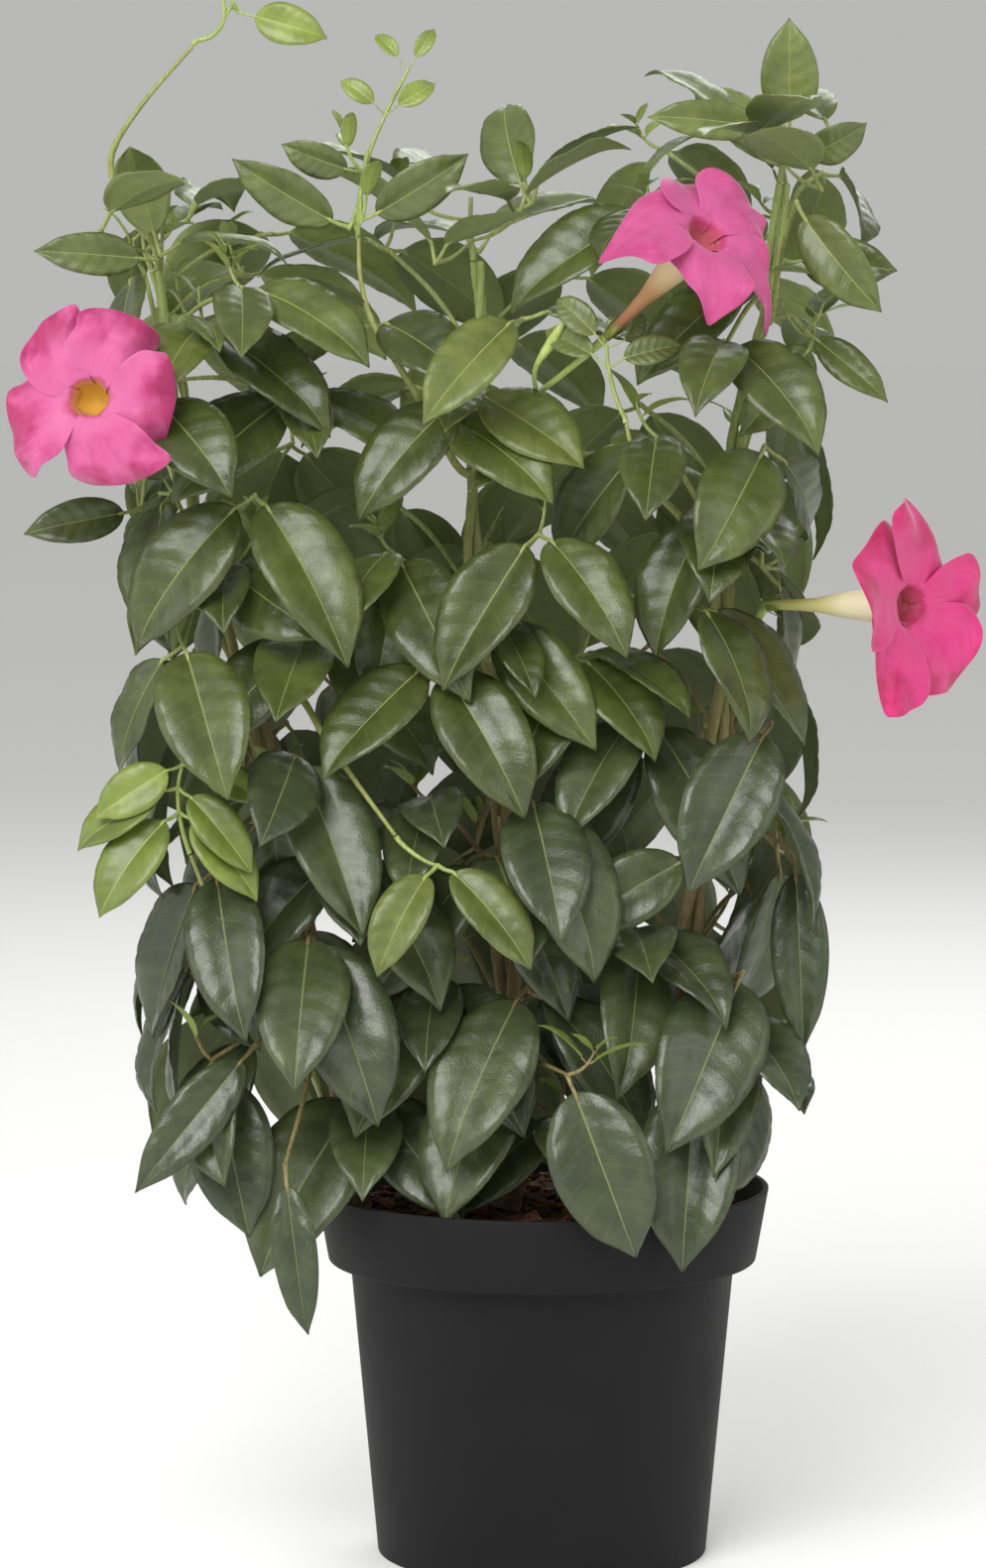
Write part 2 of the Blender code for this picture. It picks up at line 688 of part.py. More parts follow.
def pot_profile():
    """From the middle of the underside, up the outside, over the rim and down the inside."""
    flange_foot = POT_HEIGHT - FLANGE_HEIGHT
    return [
        (0, 0),
        (FOOT_RADIUS, 0),
        (BODY_TOP_RADIUS, flange_foot),
        (FLANGE_FOOT_RADIUS, flange_foot),
        (RIM_RADIUS, POT_HEIGHT),
        (RIM_RADIUS - LIP, POT_HEIGHT),
        (FLANGE_FOOT_RADIUS - WALL, flange_foot + 4 * MM),
        (BODY_TOP_RADIUS - WALL, flange_foot - 1 * MM),
        (FOOT_RADIUS - WALL, WALL + 1 * MM),
        (0, WALL + 1 * MM),
    ]


def mix_profile():
    """The potting mix, a little clear of the pot all round."""
    flange_foot = POT_HEIGHT - FLANGE_HEIGHT
    slope = (MIX_TOP - flange_foot - 4 * MM) / (FLANGE_HEIGHT - 4 * MM)
    wall_at_top = (FLANGE_FOOT_RADIUS - WALL) + (RIM_RADIUS - LIP - FLANGE_FOOT_RADIUS + WALL) * slope
    return [
        (0, WALL + 1.6 * MM),
        (FOOT_RADIUS - WALL - 0.8 * MM, WALL + 1.6 * MM),
        (BODY_TOP_RADIUS - WALL - 0.6 * MM, flange_foot - 0.6 * MM),
        (FLANGE_FOOT_RADIUS - WALL - 0.8 * MM, flange_foot + 5 * MM),
        (wall_at_top - 0.6 * MM, MIX_TOP),
        (0, MIX_TOP),
    ]


def flower_frame(flower):
    """The way it faces, and two directions across it, turned as its petals are."""
    axis = flower["faces"].normalized()
    across = axis.cross(UP).normalized()
    other = across.cross(axis)
    turn = math.radians(flower["turn"])
    first = across * math.cos(turn) + other * math.sin(turn)
    return axis, first, axis.cross(first)


def funnel_point(flower, share):
    """The middle of the tube, a share of its length down from the mouth, as it bends away from the way it faces."""
    neck = flower["mouth"] - flower["faces"].normalized() * FUNNEL_LENGTH * 0.3
    foot = neck - flower["tube"].normalized() * FUNNEL_LENGTH * 0.7
    return flower["mouth"] * (1 - share) ** 2 + neck * 2 * share * (1 - share) + foot * share**2


def light_rooms(flower):
    """The spaces in front of a flower and of a tube that is seen from its side, which leaves stay out of."""
    rooms = [(flower["mouth"] - Vector((0, 0.006, 0.004)), flower["reach"] * 0.62)]
    if flower["reflex"] > 0.5:
        rooms.append((flower["mouth"] + Vector((0.022, 0.014, -0.012)), flower["reach"] * 0.6))
    if abs(flower["tube"].x) > 0.5:
        rooms += [(funnel_point(flower, share) - Vector((0, 0.010, 0)), 9 * MM) for share in (0.5, 0.8, 1.05)]
    return [limb([start, start - Vector((0, 0.054, 0))], [radius] * 2, 8) for start, radius in rooms]


def flower_stalk(flower):
    """The stalk and trumpet: points and radii from the stem to the mouth."""
    funnel_foot = funnel_point(flower, 1.0)
    way = funnel_foot - axis_at(flower["stem"], flower["height"])
    stem_point, stem_radius = limb_at(flower["stem"], flower["height"], math.degrees(math.atan2(way.x, -way.y)))
    way = Vector((funnel_foot.x - stem_point.x, funnel_foot.y - stem_point.y, 0)).normalized()
    start = stem_point + way * (stem_radius + CLEAR)
    knots = [start, start + way * 0.008, start.lerp(funnel_foot, 0.6) - UP * 0.003, funnel_foot]
    points = smooth_path(knots, 5)
    points += [funnel_point(flower, s) for s in (0.74, 0.58, 0.30, 0.0)]
    radii = [FLOWER_STALK_RADIUS] * 4 + [2.0 * MM, 2.7 * MM, 4.6 * MM, 6.8 * MM, THROAT_RADIUS]
    return points, radii


def petal(flower, number):
    """A petal as a thin body from inside the throat's rim to its slanted tip."""
    axis, first, second = flower_frame(flower)
    turn = math.radians(72 * number)
    out = first * math.cos(turn) + second * math.sin(turn)
    side = axis.cross(out)
    reach, reflex = flower["reach"], flower["reflex"]
    half = reach * flower["spread"]
    rings = []
    for share, rise, wide in ((0.16, -2.5, 0.25), (0.32, 0.5, 0.55), (0.62, 2.5, 1.0), (0.86, 1.0, 0.85)):
        drop = reflex * reach * 0.42 * share**2
        tilt = math.radians(12)
        edge = side * half * wide * math.cos(tilt) + axis * half * wide * math.sin(tilt)
        point = flower["mouth"] + out * reach * share + axis * (rise * MM - drop) + side * reach * share * 0.10
        lift = axis * PETAL_THICKNESS / 2
        rings.append([point - edge, point - lift, point + edge, point + lift])
    tip = flower["mouth"] + out * reach - axis * (0.5 * MM + reflex * reach * 0.42) + side * reach * flower["hook"]
    return loft(rings, tip)


def end_of(points):
    """Where a limb that grows on from these points starts, just clear of their end, and its direction."""
    ahead = (points[-1] - points[-2]).normalized()
    return points[-1] + ahead * JOINT_CLEAR, ahead


def bough_path(place):
    """The points and radii of a side shoot, from clear of its stem to its tip."""
    stem, height, knots = BOUGHS[place]
    knots = [Vector(k) for k in knots]
    if height is None:
        start, ahead = end_of(strand_path(stem, 1)[0])
        knots = [start, start + ahead * 0.010] + knots
    else:
        bare = knots[0] - axis_at(stem, height)
        point, radius = limb_at(stem, height, math.degrees(math.atan2(bare.x, -bare.y)))
        way = Vector((knots[0].x - point.x, knots[0].y - point.y, 0)).normalized()
        start = point + way * (radius + JOINT_CLEAR * 2)
        knots = [start, start + way * 0.008] + knots
    points = smooth_path(knots, 8)
    return points, [BOUGH_RADIUS + (BOUGH_TIP_RADIUS - BOUGH_RADIUS) * i / 7 for i in range(8)]


def main():
    for old in list(bpy.data.objects):
        bpy.data.objects.remove(old)
    pot_material = plain("black_polypropylene", (0.027, 0.027, 0.028), 0.55)
    mix_material = plain("bark_mix", (0.060, 0.035, 0.022), 0.95)
    bark = plain("young_bark", (0.23, 0.17, 0.09), 0.8)
    green_bark = plain("green_bark", (0.20, 0.26, 0.07), 0.6)
    pink = plain("petal_pink", (0.72, 0.10, 0.32), 0.5)
    greens = {
        "foot": plain("leaf_old", (0.065, 0.095, 0.045), 0.35),
        "low": plain("leaf_low", (0.070, 0.100, 0.045), 0.35),
        "mid": plain("leaf_full", (0.085, 0.12, 0.045), 0.38),
        "high": plain("leaf_fresh", (0.12, 0.16, 0.05), 0.42),
        "top": plain("leaf_top", (0.14, 0.18, 0.055), 0.45),
        "young": plain("leaf_young", (0.20, 0.26, 0.06), 0.45),
    }
    space = Space()

    pot = turned(pot_profile(), POT_SIDES)
    mix = turned(mix_profile(), POT_SIDES)
    mesh_object("pot", pot, pot_material)
    mesh_object("potting_mix", mix, mix_material)
    space.add(pot)
    space.add(mix)

    for stem in STEMS:
        for strand in range(STRANDS):
            body = strand_body(stem, strand)
            mesh_object(f"stem_{stem}_{'ab'[strand]}", body, bark)
            space.add(body)

    for name, flower in FLOWERS.items():
        bodies = [limb(*flower_stalk(flower), FLOWER_SIDES)]
        bodies += [petal(flower, n) for n in range(5)]
        fused(f"flower_{name}", bodies, pink)
        for body in bodies:
            space.add(body)
        for room in light_rooms(flower):
            space.add(room)

    masses = []
    for place in BOUGHS:
        points, radii = bough_path(place)
        body = limb(points, radii, 4)
        mesh_object(f"bough_{place}", body, green_bark)
        space.add(body)
        start, ahead = end_of(points)
        hub = smooth_path([start, start + ahead * 0.003] + [Vector(p) for p in LEADERS[place][0]], 6)
        masses.append((Mass(f"leaves_{place}", hub, BOUGH_TIP_RADIUS * 0.9, space), "young", place))
    for stem in STEMS:
        points, radii = strand_path(stem, 0)
        start, ahead = end_of(points)
        hub = smooth_path([start, start + ahead * 0.012, start + ahead * 0.010 + UP * 0.016], 4)
        masses.append((Mass(f"leaves_{stem}_top", hub, radii[-1], space), "top", stem))
    for front in (True, False):
        for tier in TIERS:
            for stem in STEMS:
                name = f"leaves_{stem}_{tier}_{'front' if front else 'back'}"
                mass = Mass(name, side_hub(stem, tier, front), TWIG_RADIUS, space)
                masses.append((mass, tier, (stem, front)))

    for mass, tier, place in masses:
        if tier == "young":
            fill_leader(mass, place)
        elif tier == "top":
            fill_top_mass(mass, place)
        else:
            fill_side_mass(mass, place[0], tier, place[1])
    count = 0
    for mass, tier, place in masses:
        fused(mass.name, mass.solids(), greens["mid" if place == "slant" else tier])
        count += len(mass.leaves)
        print(mass.name, len(mass.twigs), "twigs", len(mass.leaves), "leaves")
    print(count, "leaves")


main()
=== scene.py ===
import math
import random
from collections import namedtuple

import bmesh
import bpy
import numpy as np
from mathutils import Matrix, Vector
from mathutils.bvhtree import BVHTree


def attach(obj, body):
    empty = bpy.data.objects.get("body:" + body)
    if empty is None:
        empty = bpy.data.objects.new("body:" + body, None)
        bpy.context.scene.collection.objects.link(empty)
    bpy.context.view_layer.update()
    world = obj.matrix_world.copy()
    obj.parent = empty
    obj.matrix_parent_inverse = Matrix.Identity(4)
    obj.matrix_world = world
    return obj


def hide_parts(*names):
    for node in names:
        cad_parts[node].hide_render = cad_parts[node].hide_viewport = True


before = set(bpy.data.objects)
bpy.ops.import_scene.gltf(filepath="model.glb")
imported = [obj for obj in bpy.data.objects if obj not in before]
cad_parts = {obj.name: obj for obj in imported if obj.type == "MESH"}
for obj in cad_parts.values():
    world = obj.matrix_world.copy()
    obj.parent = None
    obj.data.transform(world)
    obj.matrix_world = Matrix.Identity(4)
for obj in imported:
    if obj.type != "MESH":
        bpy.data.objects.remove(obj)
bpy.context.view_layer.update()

# A potted mandevilla: twining stems, large waxy leaves and pink trumpet flowers, in a growers' pot.
# The plant grows here by the same seeded rule as in its source, so every leaf lies where its solid does.
# Metres, +Z up. The origin is the centre of the pot's underside, and the plant's front faces -Y.

UP = Vector((0, 0, 1))
MM = 0.001
CLEAR = 0.3 * MM
JOINT_CLEAR = 0.55 * MM

# The pot and what fills it
RIM_RADIUS = 95 * MM
POT_HEIGHT = 155 * MM
FLANGE_HEIGHT = 31 * MM
FLANGE_FOOT_RADIUS = 89.5 * MM
BODY_TOP_RADIUS = 80.5 * MM
FOOT_RADIUS = 69 * MM
WALL = 2.2 * MM
LIP = 2.5 * MM
POT_EDGE = 0.9 * MM
POT_SIDES = 32
POT_SIDES_SHOWN = 128
MIX_TOP = POT_HEIGHT - 12 * MM
MIX_SIDES = 72
MIX_RINGS = 22
CHIPS = 620
CHIP_LENGTH = 9 * MM
CHIP_BARKS = (
    ("red_brown", "#5b3526", "#8a5640"),
    ("brown", "#463024", "#6d4e3a"),
    ("dark", "#2a201a", "#483629"),
)
STEM_ROOM = 8 * MM  # what the chips leave free round a stem

# The stems: where each pair leaves the mix and where it ends
STEMS = {
    "left": (Vector((-0.077, 0.002, MIX_TOP)), Vector((-0.160, 0.0, 0.536))),
    "middle": (Vector((-0.014, 0.006, MIX_TOP)), Vector((-0.027, 0.0, 0.540))),
    "right": (Vector((0.045, 0.002, MIX_TOP)), Vector((0.099, 0.0, 0.572))),
}
STRANDS = 2
STEM_FOOT_RADIUS = 3.3 * MM
STEM_TIP_RADIUS = 1.5 * MM
ROOT_FLARE = 1.6
TWIST_PITCH = 0.150
STEM_STEP = 0.0215
STEM_SIDES = 5
STRAND_GAP = 0.9 * MM
BARK_STEP = 1.6 * MM  # how far apart the rings of a shown stem are
JOINT_SPACING = 0.046  # between the swollen joints of a stem, where leaf stalks leave it

# The crown's outline, seen from the front: height, left edge, right edge
CROWN = (
    (0.100, -0.112, 0.055), (0.140, -0.150, 0.086), (0.165, -0.168, 0.096), (0.200, -0.170, 0.112),
    (0.300, -0.172, 0.117), (0.400, -0.182, 0.116), (0.480, -0.180, 0.124), (0.540, -0.188, 0.142),
    (0.585, -0.172, 0.136), (0.640, -0.130, 0.118),
)
CROWN_DEPTH = 0.112

# The foliage: tiers of masses up each stem, from the pot's rim to the top
TIERS = {
    # share of the stem's height, leaf length, degrees below level, degrees of swing to either side
    "foot": (0.15, 0.078, 64, 22),
    "low": (0.38, 0.079, 74, 24),
    "mid": (0.62, 0.073, 68, 28),
    "high": (0.86, 0.063, 50, 40),
}
TIER_TONES = {"foot": "old", "low": "old", "mid": "full", "high": "fresh"}
TIER_SHIFT = {"left": 0.010, "middle": -0.012, "right": 0.004}
BACK_RISE = 0.024  # the masses behind a stem over those in front of it
TOP_LEAF = (0.054, -24, 32)  # its length, degrees below level and swing
LEAF_ASPECT = 0.56
LEAN = {"left": -14, "middle": 0, "right": 14}
SHOOT_REACH = (0.034, 0.054)
ROWS = (0.036, -0.016, 0.010)
EDGE_MARGIN = 0.020  # what a mass keeps from the crown's edge, and then from its neighbour
SIDE_MARGIN = 0.004
FAN_WIDTH = 0.045  # how far to the side a shoot turns its leaves by so many degrees
FAN_TURN = 42
OUTERMOST_TURNS = (74, 106)  # of the outermost shoot's leaves, in front and behind
PAIR_TURN = 14
FRONT_SHOOTS = 5
BACK_SHOOTS = 4
TOP_SHOOTS = 5
STALK_LENGTH = 0.011
# How far a leaf departs from its mass's rule: degrees of turn and lift to either side, and the least and most
# of its size, width, bend and fold
LEAF_TURN = 10
LEAF_LIFT = 8
LEAF_SIZES = (0.86, 1.10)
LEAF_WIDTHS = (0.90, 1.10)
LEAF_BENDS = (16, 46)
LEAF_FOLDS = (5, 20)
TWIG_RADIUS = 1.9 * MM
SHOOT_RADIUS = 1.4 * MM
TWIG_SIDES = 3
TRIES = 16
ROOM = 0.45 * MM

# The side shoots: the stem and the height they leave it at, and the points they pass
BOUGHS = {
    "vine": ("left", None, ((-0.1745, -0.004, 0.566), (-0.175, -0.006, 0.590), (-0.144, -0.004, 0.628))),
    "thin": ("middle", 0.455, ((-0.052, -0.030, 0.486), (-0.072, -0.028, 0.520), (-0.0755, -0.024, 0.549))),
    "young": ("left", 0.186, ((-0.101, -0.052, 0.222), (-0.127, -0.062, 0.262), (-0.143, -0.064, 0.300))),
    "slant": ("left", 0.372, ((-0.102, -0.040, 0.366), (-0.086, -0.066, 0.344), (-0.060, -0.074, 0.309))),
    "fresh": ("right", 0.420, ((0.056, -0.040, 0.436), (0.040, -0.060, 0.452), (0.033, -0.062, 0.474))),
}
BOUGH_POINTS = 8
BOUGH_RADIUS = 1.9 * MM
BOUGH_TIP_RADIUS = 1.3 * MM
SHOOT_RINGS = 48  # along a shown side shoot

# The twig at the end of each side shoot, its pairs of leaves, their length, and how far they swing up
LEADERS = {
    "vine": (((-0.133, -0.005, 0.634), (-0.131, -0.006, 0.646), (-0.137, -0.006, 0.661)), 1, 0.016, 150),
    "thin": (((-0.0735, -0.024, 0.575), (-0.066, -0.022, 0.596), (-0.055, -0.020, 0.618)), 2, 0.020, 140),
    "young": (((-0.147, -0.066, 0.314), (-0.148, -0.066, 0.326), (-0.146, -0.066, 0.338)), 3, 0.044, 62),
    "slant": (((-0.054, -0.077, 0.303), (-0.048, -0.078, 0.299), (-0.042, -0.079, 0.297)), 1, 0.062, 26),
    "fresh": (((0.029, -0.064, 0.484), (0.026, -0.064, 0.496), (0.025, -0.064, 0.506)), 2, 0.030, 130),
}
LEADER_DROOP = 66
TONE_OF = {"slant": "ripe", "fresh": "fresh"}  # side shoots whose leaves look older than young ones

# Single leaves that the outline turns on: the blade's base, its tip, and its width over its length
MARKED_LEAVES = {
    "left_top": [((-0.165, -0.020, 0.541), (-0.208, -0.030, 0.544), 0.42)],
    "left_high_front": [((-0.172, -0.024, 0.437), (-0.213, -0.034, 0.429), 0.50)],
    "vine": [((-0.118, -0.006, 0.640), (-0.088, -0.010, 0.631), 0.58)],
    "thin": [
        ((-0.086, -0.030, 0.556), (-0.127, -0.034, 0.581), 0.46),
        ((-0.068, -0.030, 0.559), (-0.030, -0.034, 0.583), 0.50),
        ((-0.080, -0.028, 0.577), (-0.107, -0.032, 0.587), 0.56),
    ],
    "right_top": [
        ((0.102, 0.006, 0.598), (0.101, -0.002, 0.640), 0.66),
        ((0.088, -0.014, 0.595), (0.042, -0.024, 0.599), 0.42),
        ((0.109, -0.010, 0.583), (0.133, -0.016, 0.596), 0.62),
    ],
    "right_high_front": [
        ((0.106, -0.024, 0.540), (0.144, -0.036, 0.536), 0.62),
        ((0.112, -0.020, 0.508), (0.141, -0.032, 0.483), 0.40),
    ],
    "right_low_front": [((0.104, -0.030, 0.289), (0.107, -0.040, 0.216), 0.34)],
    "left_foot_front": [
        ((-0.122, -0.066, 0.217), (-0.166, -0.082, 0.164), 0.36),
        ((-0.106, -0.104, 0.170), (-0.098, -0.108, 0.108), 0.34),
    ],
    "middle_foot_front": [((0.012, -0.098, 0.208), (0.037, -0.108, 0.141), 0.66)],
}

# The flowers: the middle of the mouth, the way it faces, the way its tube comes up to it, its stem, the
# height its stalk leaves at, and its petals' turn, reach, half width over reach, bend backwards, and how far
# their tips lie off to one side
Flower = namedtuple("Flower", "mouth faces tube stem height turn reach spread reflex hook")
FLOWERS = {
    name: Flower(Vector(mouth), Vector(faces), Vector(tube), *rest)
    for name, mouth, faces, tube, *rest in (
        ("left", (-0.182, -0.082, 0.485), (-0.24, -0.96, 0.10), (-0.36, -0.92, 0.10),
         "left", 0.450, -26, 0.035, 0.60, 0.10, 0.14),
        ("upper", (0.065, -0.086, 0.551), (0.52, -0.62, 0.58), (0.66, -0.33, 0.68),
         "middle", 0.474, 8, 0.040, 0.50, 0.80, 0.32),
        ("right", (0.148, -0.064, 0.401), (0.78, -0.62, 0.02), (0.96, -0.28, 0.01),
         "right", 0.380, 36, 0.044, 0.56, -0.20, 0.32),
    )
}
FUNNEL_LENGTH = 0.063
THROAT_RADIUS = 8.5 * MM
PETAL_THICKNESS = 1.0 * MM
PETALS = 5
PETAL_ANGLE = 360 // PETALS
PETAL_TILT = 12  # degrees, over its neighbour
PETAL_DROP = 0.42  # of a petal that bends back fully, over its reach
PETAL_SWEEP = 0.10  # of its middle line to one side, over its reach
FLOWER_SIDES = 6
FLOWER_STALK_RADIUS = 1.3 * MM

# How the leaf and petal models are laid out
LEAF_ROWS = 28
LEAF_COLUMNS = 9  # an odd number, so that the middle one is the midrib
SMALL_LEAF = (5, 10)  # columns and rows of a leaf on a sprig, and of a sepal
LEAF_THICKNESS = 0.006  # as shares of the leaf's length, like the three below
BLADE_BULGE = 0.014
VEIN_DEPTH = 0.0055
MIDRIB_SINK = 0.004
MIDRIB_WIDTH = 0.025  # over the leaf's width
VEIN_ROWS = 4  # rows from one side vein to the next
PETAL_ROWS = 24
PETAL_COLUMNS = 16
SPRIG_SHARE = 0.55  # of the twigs bear a sprig, where it finds room
TWIG_SKINS = (
    ("ripened_shoot", "#6b5a3a", "#8a8050"),
    ("green_shoot", "#7c8549", "#98a25f"),
    ("young_shoot", "#8b994e", "#a6b368"),
)
STALK_TAPER = (1.25, 1.1, 1, 0.95, 0.95, 1, 0.9, 0.5)  # of a leaf stalk, from its root into the blade


def smooth_path(knots, count):
    """Points on a smooth curve through the knots, evenly shared between them."""
    ends = [knots[0] * 2 - knots[1], *knots, knots[-1] * 2 - knots[-2]]
    points = []
    for i in range(count):
        where = i / (count - 1) * (len(knots) - 1)
        k = min(int(where), len(knots) - 2)
        t = where - k
        a, b, c, d = ends[k : k + 4]
        bend = (2 * a - 5 * b + 4 * c - d) * t**2
        points.append(0.5 * (2 * b + (c - a) * t + bend + (3 * b - a - 3 * c + d) * t**3))
    return points


def heading(azimuth, droop=0.0):
    """The direction at an azimuth, in degrees from the front towards the right, and so far below level."""
    a, d = math.radians(azimuth), math.radians(droop)
    return Vector((math.sin(a) * math.cos(d), -math.cos(a) * math.cos(d), -math.sin(d)))


def round_angles(sides):
    return [math.tau * s / sides for s in range(sides)]


def loft(rings, tip=None):
    """A closed body through rings of equally many points, with flat ends, or a point at its far end."""
    size = len(rings[0])
    points = [p for ring in rings for p in ring]
    last = len(points) - size
    pairs = [(i, (i + 1) % size) for i in range(size)]
    faces = [tuple(reversed(range(size)))]
    for r in range(0, last, size):
        faces += [(r + i, r + j, r + size + j, r + size + i) for i, j in pairs]
    if tip is None:
        faces.append(tuple(range(last, last + size)))
    else:
        points.append(tip)
        faces += [(last + i, last + j, last + size) for i, j in pairs]
    return points, faces


def limb_rings(points, radii, sides):
    """The rings of a round limb along the points, which don't twist."""
    rings = []
    across = (points[1] - points[0]).orthogonal().normalized()
    for i, (point, radius) in enumerate(zip(points, radii)):
        along = (points[min(i + 1, len(points) - 1)] - points[max(i - 1, 0)]).normalized()
        across = (across - along * across.dot(along)).normalized()
        other = along.cross(across)
        angles = round_angles(sides)
        rings.append([point + (across * math.cos(a) + other * math.sin(a)) * radius for a in angles])
    return rings


def limb(points, radii, sides):
    return loft(limb_rings(points, radii, sides))


class Space:
    """What has grown so far, to keep what grows next clear of it."""

    def __init__(self):
        self.bodies = []

    @staticmethod
    def measure(body):
        points, faces = body
        low, high = ([end(p[i] for p in points) for i in range(3)] for end in (min, max))
        return BVHTree.FromPolygons(points, faces), low, high

    def add(self, body, owner=None):
        self.bodies.append((*self.measure(body), owner))

    def is_clear(self, body, owner=None):
        """Whether the body touches nothing, apart from what its own mass owns."""
        tree, low, high = self.measure(body)
        for other, other_low, other_high, other_owner in self.bodies:
            if owner is not None and other_owner == owner:
                continue
            apart = any(low[i] > other_high[i] or high[i] < other_low[i] for i in range(3))
            if not apart and tree.overlap(other):
                return False
        return True


def crown_edges(height):
    """The crown's left and right edges at a height."""
    for (z0, left0, right0), (z1, left1, right1) in zip(CROWN, CROWN[1:]):
        if z0 <= height <= z1:
            t = (height - z0) / (z1 - z0)
            return left0 + (left1 - left0) * t, right0 + (right1 - right0) * t
    return (0.0, 0.0)


def is_in_crown(point):
    left, right = crown_edges(point.z)
    return left <= point.x <= right and abs(point.y) <= CROWN_DEPTH


def leaf_outline(t):
    """Half the width of a leaf, as a share of the most, a share t of the way from its base to its tip."""
    oval = (t / 0.43) ** 0.62 * ((1 - t) / 0.57) ** 0.85
    return oval * (1 - 0.45 * max(0.0, (t - 0.78) / 0.22) ** 1.5)


class Leaf:
    """A leaf on its stalk: its stalk's root, the blade's base, lie and size, and how it bends and folds."""

    def __init__(self, root, base, along, face, length, width, bend, fold, tone):
        self.root, self.base, self.along, self.face = root, base, along, face
        self.length, self.width, self.bend, self.fold, self.tone = length, width, bend, fold, tone
        self.side = along.cross(face).normalized()
        self.thickness = max(0.9 * MM, length / 90)

    def midrib(self, t):
        """The point a share t along the midrib, and the way the upper side faces there."""
        half = self.bend / 2
        angle = self.bend * t - half
        ahead = (math.sin(angle) + math.sin(half)) / self.bend
        out = (math.cos(angle) - math.cos(half)) / self.bend
        point = self.base + (self.along * ahead + self.face * out) * self.length
        return point, self.face * math.cos(angle) + self.along * math.sin(angle)

    def ring(self, t, more=0.0):
        """Both edges, lifted by the fold, and the keel under the midrib."""
        point, face = self.midrib(t)
        half = self.width / 2 * leaf_outline(t)
        edge = self.side * (half * math.cos(self.fold) + more)
        lift = face * (half * math.sin(self.fold) + more)
        return [point - edge + lift, point + edge + lift, point - face * (self.thickness + more)]

    def stalk_ring(self, share, radius):
        way = (self.base - self.root).normalized()
        across = (self.side - way * self.side.dot(way)).normalized() * radius * 0.87
        upper = across.cross(way).normalized() * radius
        point = self.root.lerp(self.base, share)
        return [point - across + upper / 2, point + across + upper / 2, point - upper]

    def blade_room(self):
        rings = [self.stalk_ring(0.8, 1.3 * MM), self.stalk_ring(1, 1.2 * MM + ROOM)]
        rings += [self.ring(0.30, ROOM), self.ring(0.70, ROOM)]
        return loft(rings, self.midrib(1.0)[0] + self.along * ROOM)

    def stalk_room(self):
        return loft([self.stalk_ring(0.05, 0.8 * MM + ROOM), self.stalk_ring(1, 1.2 * MM + ROOM)])

    def is_in_crown(self):
        return all(is_in_crown(p) for p in [self.midrib(1.0)[0]] + self.ring(0.45))


def twig_room(points, radii):
    return limb(points, [r + ROOM for r in radii], TWIG_SIDES)


